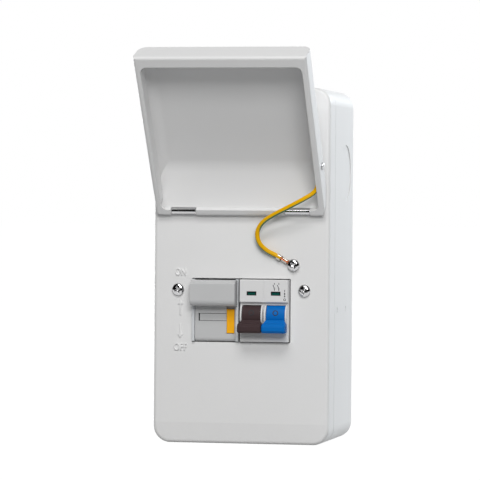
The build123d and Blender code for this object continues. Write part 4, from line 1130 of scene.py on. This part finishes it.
@dataclass
class CoverScrews:
    """The two cover screws and the earth screw.

    Attributes:
        cover_x: distance of each cover screw from the middle.
        cover_z: height of the cover screws.
        earth: place of the earth screw across and up the cover.
        earth_length: length of the earth screw.
        ring_sheet: thickness of the ring under the earth screw.
        slants: how far each screw's cross is turned, in degrees.
    """

    cover_x: float = 46.7 * MM
    cover_z: float = -17.5 * MM
    earth: tuple[float, float] = (38.7 * MM, 0.9 * MM)
    earth_length: float = 8.0 * MM
    ring_sheet: float = 0.8 * MM
    slants: tuple[float, float, float] = (24.0, -18.0, 38.0)

    def build(self) -> None:
        """Make the screws in place of their plain solids."""
        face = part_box("front_cover")[0].y
        left, right, earth = (Maker.turned(slant) for slant in self.slants)
        pair = Maker.join(
            PanScrew().build(Maker.facing_front(x, face, self.cover_z) @ slant)
            for x, slant in ((-self.cover_x, left), (self.cover_x, right))
        )
        place = Maker.facing_front(self.earth[0], face - self.ring_sheet, self.earth[1]) @ earth
        single = PanScrew(length=self.earth_length).build(place)
        for name, build, node in (
            ("cover_screw_pair", pair, "cover_screws"), ("earth_screw", single, "cover_earth_screw")
        ):
            mesh = Maker.from_bmesh(name, build)
            Maker.piece(name, mesh, BRIGHT_PLATE, Body.ENCLOSURE, "bright_plate", stands_for=node)


@dataclass
class RingTerminal:
    """One crimped ring terminal with the ends of the lead's strands.

    Attributes:
        name: the node that it stands for.
        bolt_d: across the screw that goes through it.
        place: from its local axes, ring flat on XY and crimp along +X, to the row frame.
        body: the body it moves with.
        ring_d: across the ring.
        ring_steps: steps round the ring.
        hole_clear: how much wider the ring's hole is than the screw, on each side.
        sheet: thickness of the ring.
        soft: rounding of the ring's edges.
        wall: thickness of the crimp's wings.
        wing_steps: steps across the crimp's sheet.
        fold: how wide the fold of the wings' tips is, in radians, and how deep, as a share.
        stations: along, radius, half angle and bottom of each section of the crimp.
        lift: height of the lead's middle above the seat.
        strand_r: radius of one strand.
        strand_gap: gap between two strands.
        strand_turn: how far the ring of six strands is turned, in degrees.
        strand_along: the strands' tips, the fan's end, a point in the crimp and the strands' ends.
        strand_stagger: how far each tip stands behind the one before.
        fan: how much wider the bundle is at its tips.
        strand_steps: facets round a strand.
    """

    name: str
    bolt_d: float
    place: Matrix
    body: Body
    ring_d: float = 8.4 * MM
    ring_steps: int = 56
    hole_clear: float = 0.1 * MM
    sheet: float = 0.8 * MM
    soft: float = 0.18 * MM
    wall: float = 0.42 * MM
    wing_steps: int = 26
    fold: tuple[float, float] = (0.42, 0.30)
    stations: tuple[tuple[float, float, float, float], ...] = (
        (2.9, 9.0, 9.0, 0.10), (4.1, 4.0, 24.0, 0.15), (4.9, 1.75, 95.0, 0.40), (5.3, 1.62, 158.0, 0.50),
        (9.2, 1.62, 158.0, 0.50), (9.6, 1.75, 100.0, 0.40), (10.1, 2.1, 92.0, 0.10),
        (10.5, 2.17, 150.0, 0.03), (13.2, 2.17, 150.0, 0.03), (13.5, 2.17, 138.0, 0.03),
    )
    lift: float = 2.2 * MM
    strand_r: float = 0.36 * MM
    strand_gap: float = 0.02 * MM
    strand_turn: float = 12.0
    strand_along: tuple[float, ...] = (4.35 * MM, 5.3 * MM, 10.0 * MM, 10.7 * MM)
    strand_stagger: float = 0.12 * MM
    fan: float = 1.12
    strand_steps: int = 10

    def build(self) -> None:
        """Make the terminal and its strands in place of the plain solid."""
        name = f"{self.name}_crimp"
        mesh = Maker.from_bmesh(name, Maker.join([self._ring(), self._crimp()]), self.place)
        Maker.piece(name, mesh, TINNED, self.body, "tinned_crimp", stands_for=self.name)
        name = f"{self.name}_strands"
        mesh = Maker.from_bmesh(name, self._strands(), self.place)
        Maker.piece(name, mesh, COPPER, self.body, "strap_copper")

    def _ring(self) -> bmesh.types.BMesh:
        """The flat ring with soft edges.

        Returns:
            The ring, its seat on local Z = 0.
        """
        inner, outer, soft = self.bolt_d / 2 + self.hole_clear, self.ring_d / 2, self.soft
        low_edge, high_edge = soft, self.sheet - soft
        profile = [
            (inner, low_edge), (inner + soft, 0), (outer - soft, 0), (outer, low_edge), (outer, high_edge),
            (outer - soft, self.sheet), (inner + soft, self.sheet), (inner, high_edge),
        ]
        return Maker.lathe(profile, self.ring_steps, closed=True)

    def _crimp(self) -> bmesh.types.BMesh:
        """Tongue, conductor wings and insulation wings, as one bent sheet.

        Returns:
            The sheet, lofted through its sections.
        """
        build = bmesh.new()
        steps = self.wing_steps
        fold_wide, fold_deep = self.fold
        loops: list[Loop] = []
        for along, radius, half, bottom in self.stations:
            loop: Loop = []
            for side, thin in ((1, 0.0), (-1, self.wall)):
                for i in range(steps + 1):
                    angle = math.radians(half) * (2 * i / steps - 1) * side
                    fold = math.exp(-((math.pi - abs(angle)) / fold_wide) ** 2)
                    reach = (radius * MM - thin) * (1 - fold_deep * fold)
                    y = reach * math.sin(angle)
                    z = (bottom + radius) * MM - reach * math.cos(angle)
                    loop.append(build.verts.new((along * MM, y, z)))
            loops.append(loop)
        Maker.skin(build, loops)
        build.faces.new(loops[0])
        build.faces.new(loops[-1])
        return build

    def _strands(self) -> bmesh.types.BMesh:
        """Seven strands that show before, in and behind the conductor wings.

        Returns:
            The bundle, slightly fanned at its free end.
        """
        spread = 2 * self.strand_r + self.strand_gap
        turns = [math.radians(60 * i + self.strand_turn) for i in range(6)]
        places = [(0.0, 0.0)] + [(spread * math.cos(a), spread * math.sin(a)) for a in turns]
        tip, *rest = self.strand_along
        outline = Maker.circle(self.strand_r, self.strand_steps)
        builds = []
        for index, (y, z) in enumerate(places):
            path = [Vector((tip - self.strand_stagger * (index % 3), self.fan * y, self.lift + self.fan * z))]
            path += [Vector((along, y, self.lift + z)) for along in rest]
            builds.append(Maker.sweep(path, outline, UP))
        return Maker.join(builds)


@dataclass
class EarthBond:
    """Both ring terminals of the earth lead.

    Attributes:
        cover_at: place of the ring on the cover, across and up.
        cover_turn: direction of the crimp on the cover, in degrees from +X towards +Z.
        cover_bolt: across the cover's earth screw.
        lid_at: middle of the ring on the open lid's right wall, in millimetres.
        lid_along: direction of the crimp on the open lid.
        lid_bolt: across the lid's earth screw.
    """

    cover_at: tuple[float, float] = (38.7 * MM, 0.9 * MM)
    cover_turn: float = 151.0
    cover_bolt: float = 4.0 * MM
    lid_at: Point = (61.0, -113.346, 72.322)
    lid_along: Point = (0.0, 0.24192, -0.97030)
    lid_bolt: float = 3.0 * MM

    def build(self) -> None:
        """Make both terminals."""
        x, z = self.cover_at
        turn = math.radians(self.cover_turn)
        crimp = Vector((math.cos(turn), 0, math.sin(turn)))
        on_cover = Maker.basis(Vector((x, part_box("front_cover")[0].y, z)), crimp, FRONT)
        RingTerminal("cover_ring_terminal", self.cover_bolt, on_cover, Body.ENCLOSURE).build()
        on_lid = Maker.basis(Vector(self.lid_at) * MM, Vector(self.lid_along), -RIGHT)
        RingTerminal("lid_ring_terminal", self.lid_bolt, on_lid, Body.LID).build()


@dataclass
class SwitchFace:
    """Window frames, printed signs and the raised rings on the toggles, whose dark ink is painted shade of
    their embossing.

    Attributes:
        poles: middle of each pole.
        face: depth of the switch's front face from the wall.
        window: width and height of a window's opening.
        window_z: middle of the windows.
        sight: width and height of what a frame leaves open.
        frame_slope: width of the slope round what a frame leaves open.
        frame_tall: height of a frame from its back.
        frame_sunk: how far a frame's back lies behind the face.
        ink: thickness of the printed signs.
        circle_steps: steps round a printed circle.
        sign_x: middle of the column of position signs.
        bars: middle, width and height of the upper sign and of the two dashes.
        low_sign: middle, radius and line of the lower sign.
        contact_at: middle of the contact sign.
        contact_half: how far each of its two poles is from the middle.
        contact_end: how far a pole's ends are from the middle, with their width and height.
        contact_hinge: how far a pole's hinge is below the middle, with its radius and line.
        contact_blade: place of a pole's blade across and up, with its width and height.
        blade_slant: turn of the blades, in degrees.
        drum: depth, height and radius of the toggles' round plates.
        ring: radius, half the width and height of a raised ring.
        ring_turn: how far up the plate a ring sits, in degrees.
        ring_steps: steps round the ring's line and round the ring.
    """

    poles: tuple[float, float] = (9.1 * MM, 26.9 * MM)
    face: float = 102.0 * MM
    window: tuple[float, float] = (7.0 * MM, 2.8 * MM)
    window_z: float = -19.6 * MM
    sight: tuple[float, float] = (5.6 * MM, 1.7 * MM)
    frame_slope: float = 0.25 * MM
    frame_tall: float = 1.05 * MM
    frame_sunk: float = 0.9 * MM
    ink: float = 0.03 * MM
    circle_steps: int = 32
    sign_x: float = 33.5 * MM
    bars: tuple[Sizes, ...] = (
        (-17.6 * MM, 0.40 * MM, 1.7 * MM),
        (-19.7 * MM, 0.85 * MM, 1.3 * MM),
        (-21.5 * MM, 0.85 * MM, 1.1 * MM),
    )
    low_sign: Sizes = (-23.9 * MM, 0.9 * MM, 0.36 * MM)
    contact_at: tuple[float, float] = (27.6 * MM, -14.7 * MM)
    contact_half: float = 1.6 * MM
    contact_end: Sizes = (2.2 * MM, 0.44 * MM, 1.2 * MM)
    contact_hinge: Sizes = (1.4 * MM, 0.5 * MM, 0.24 * MM)
    contact_blade: tuple[float, ...] = (-0.6 * MM, 0.15 * MM, 0.46 * MM, 2.7 * MM)
    blade_slant: float = 24.0
    drum: Sizes = (93.5 * MM, -36.0 * MM, 9.3 * MM)
    ring: Sizes = (1.75 * MM, 0.34 * MM, 0.12 * MM)
    ring_turn: float = 15.0
    ring_steps: tuple[int, int] = (10, 40)

    def build(self) -> None:
        """Make the frames, the signs and the rings."""
        for side, x in zip(("left", "right"), self.poles):
            name = f"window_frame_{side}"
            mesh = Maker.from_bmesh(name, self._frame(), self._at(x, self.window_z, -self.frame_sunk))
            Maker.piece(name, mesh, BLACK_TRIM, Body.ENCLOSURE, "clip_grey")
        for name, strokes in (("position_signs", self._signs()), ("contact_sign", self._contacts())):
            mesh = Maker.from_bmesh(name, Maker.join(strokes))
            Maker.piece(name, mesh, PRINT_INK, Body.ENCLOSURE, "switch_grey")
        for colour, x in zip(("brown", "blue"), self.poles):
            name = f"toggle_ring_painted_shade_{colour}"
            mesh = Maker.from_bmesh(name, self._ring(x))
            # The ring's relief is real. Its dark ink is painted shade for an embossed ring in the toggle's
            # own plastic.
            Maker.piece(name, mesh, PRINT_INK, Body.TOGGLES, f"toggle_{colour}")

    def _at(self, x: float, z: float, out: float = 0.0) -> Matrix:
        """A place that faces the front, some way out from the switch's face."""
        return Maker.facing_front(x, -self.face - out, z)

    def _frame(self) -> bmesh.types.BMesh:
        """A window frame with a bevelled inner edge, its back on local Z = 0.

        Returns:
            The frame as four mitred bars in one ring.
        """
        wide, high = self.window
        clear_w, clear_h = self.sight
        slope, tall = self.frame_slope, self.frame_tall
        rows = [
            (wide, high, 0.0), (wide, high, tall), (clear_w + 2 * slope, clear_h + 2 * slope, tall),
            (clear_w, clear_h, tall - slope), (clear_w, clear_h, 0.0),
        ]
        build = bmesh.new()
        loops = [[build.verts.new((x, y, z)) for x, y in Maker.rectangle(w, h)] for w, h, z in rows]
        Maker.skin(build, loops, closed=True)
        return build

    def _bar(self, x: float, z: float, wide: float, high: float, slant: float = 0.0) -> bmesh.types.BMesh:
        """One printed stroke on the face.

        Args:
            x: its middle across.
            z: its middle up.
            wide: its width.
            high: its height.
            slant: its turn, in degrees.

        Returns:
            The stroke.
        """
        build = Maker.prism(Maker.rectangle(wide, high), self.ink)
        build.transform(self._at(x, z) @ Maker.turned(slant))
        return build

    def _circle(self, x: float, z: float, radius: float, line: float) -> bmesh.types.BMesh:
        """One printed circle on the face.

        Args:
            x: its middle across.
            z: its middle up.
            radius: its outer radius.
            line: width of its line.

        Returns:
            The circle.
        """
        inner = radius - line
        profile = [(inner, 0), (radius, 0), (radius, self.ink), (inner, self.ink)]
        build = Maker.lathe(profile, self.circle_steps, closed=True)
        build.transform(self._at(x, z))
        return build

    def _signs(self) -> list[bmesh.types.BMesh]:
        """The signs I and O with two dashes between them."""
        strokes = [self._bar(self.sign_x, *bar) for bar in self.bars]
        return strokes + [self._circle(self.sign_x, *self.low_sign)]

    def _contacts(self) -> list[bmesh.types.BMesh]:
        """The two-pole contact sign.

        Returns:
            Two ends, a hinge circle and a slanted blade for each pole.
        """
        middle, level = self.contact_at
        reach, *end = self.contact_end
        below, *hinge = self.contact_hinge
        across, above, *blade = self.contact_blade
        strokes = []
        for x in (middle - self.contact_half, middle + self.contact_half):
            strokes.append(self._bar(x, level + reach, *end))
            strokes.append(self._bar(x, level - reach, *end))
            strokes.append(self._circle(x, level - below, *hinge))
            strokes.append(self._bar(x + across, level + above, *blade, self.blade_slant))
        return strokes

    def _ring(self, x: float) -> bmesh.types.BMesh:
        """A raised ring that follows a toggle's round plate, inked dark as painted shade of the embossing.

        Args:
            x: middle of the toggle.

        Returns:
            The ring.
        """
        depth, height, radius = self.drum
        middle, line, proud = self.ring
        section, around = self.ring_steps
        profile = [(middle + line * c, proud * s) for c, s in Maker.circle(1.0, section)]
        build = Maker.lathe(profile, around, closed=True)
        for vert in build.verts:
            turn = math.radians(self.ring_turn) + vert.co.y / radius
            reach = radius + vert.co.z
            vert.co = (x + vert.co.x, -(depth + reach * math.cos(turn)), height + reach * math.sin(turn))
        return build


@dataclass
class LabelRecessShade:
    """Painted shade: a thin black strip at the foot of the carrier's label recess, for the shadow along its
    edges.

    Attributes:
        left: left edge of the recess.
        right: where the recess meets the amber slide.
        low: lower edge of the recess.
        high: upper edge of the recess.
        floor: depth of the recess's floor from the wall.
        line: width of the painted shade above and below.
        end_line: width of the painted shade at the left end.
        thick: thickness of the black strip.
    """

    left: float = -31.2 * MM
    right: float = -10.4 * MM
    low: float = -40.0 * MM
    high: float = -34.4 * MM
    floor: float = 95.4 * MM
    line: float = 0.3 * MM
    end_line: float = 0.75 * MM
    thick: float = 0.04 * MM

    def build(self) -> None:
        """Make the strip of painted shade along three sides of the recess."""
        inner, top, foot = self.left + self.end_line, self.high - self.line, self.low + self.line
        outline = [
            (self.left, self.low), (self.right, self.low), (self.right, foot), (inner, foot), (inner, top),
            (self.right, top), (self.right, self.high), (self.left, self.high),
        ]
        build = Maker.prism(outline, self.thick)
        mesh = Maker.from_bmesh("label_painted_shade", build, Maker.facing_front(0, -self.floor, 0))
        # The black strip is painted shade for the recess's shadowed edges, not a part of the carrier.
        Maker.piece("label_painted_shade", mesh, BLACK_TRIM, Body.CARRIER, "carrier_grey")


@dataclass
class EarthLead:
    """The green and yellow lead between the lid and the cover.

    Attributes:
        diameter: across the insulation.
        sides: facets round the tube.
        stripe: how many of those facets are green.
        stripe_side: which way the green faces.
        route: control points from the lid's crimp to the cover's crimp, in millimetres.
        order: order of the spline.
        steps: points of the line for each control point.
    """

    diameter: float = 3.3 * MM
    sides: int = 28
    stripe: int = 13
    stripe_side: Vector = field(default_factory=lambda: Vector((-0.20, 0.45, -0.87)))
    route: tuple[Point, ...] = (
        (58.8, -110.79, 62.09),
        (58.8, -109.6, 57.28),
        (55.6, -109.0, 52.9),
        (49.4, -110.6, 49.0),
        (38.6, -109.2, 43.4),
        (26.4, -106.8, 37.6),
        (16.9, -104.2, 32.0),
        (12.4, -101.9, 24.6),
        (13.8, -100.0, 16.6),
        (19.4, -98.4, 11.2),
        (25.14, -97.2, 8.41),
        (29.47, -97.2, 6.01),
    )
    order: int = 3
    steps: int = 10

    def build(self) -> None:
        line = self._line()
        build = Maker.sweep(line, Maker.circle(self.diameter / 2, self.sides), self.stripe_side)
        first = self.sides // 4 - self.stripe // 2
        for index, face in enumerate(build.faces):
            face.material_index = 1 if first <= index % self.sides < first + self.stripe else 0
        mesh = Maker.from_bmesh("earth_lead_sheath", build)
        mesh.materials.append(SHEATH_YELLOW.material())
        mesh.materials.append(SHEATH_GREEN.material())
        obj = Maker.link("earth_lead_sheath", mesh)
        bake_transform(obj)
        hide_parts("earth_lead")

    def _line(self) -> list[Vector]:
        """The lead's smooth line.

        Returns:
            Points along a spline that has the route as its control points.
        """
        curve = bpy.data.curves.new("lead_line", "CURVE")
        curve.dimensions = "3D"
        spline = curve.splines.new("NURBS")
        spline.points.add(len(self.route) - 1)
        for point, place in zip(spline.points, self.route):
            point.co = (*(c * MM for c in place), 1)
        spline.order_u = self.order
        spline.use_endpoint_u = True
        spline.resolution_u = self.steps
        mesh = Maker.curve_mesh("lead_line", curve)
        points = [v.co.copy() for v in mesh.vertices]
        bpy.data.meshes.remove(mesh)
        return points


def main() -> None:
    """Build the studio and each sub-assembly."""
    logging.basicConfig(level=logging.INFO, format="%(name)s %(message)s")
    Studio().build()
    enclosure = Enclosure()
    enclosure.dress()
    enclosure.build()
    CoverScrews().build()
    SwitchFace().build()
    LabelRecessShade().build()
    EarthBond().build()
    EarthLead().build()


if __name__ == "__main__":
    main()
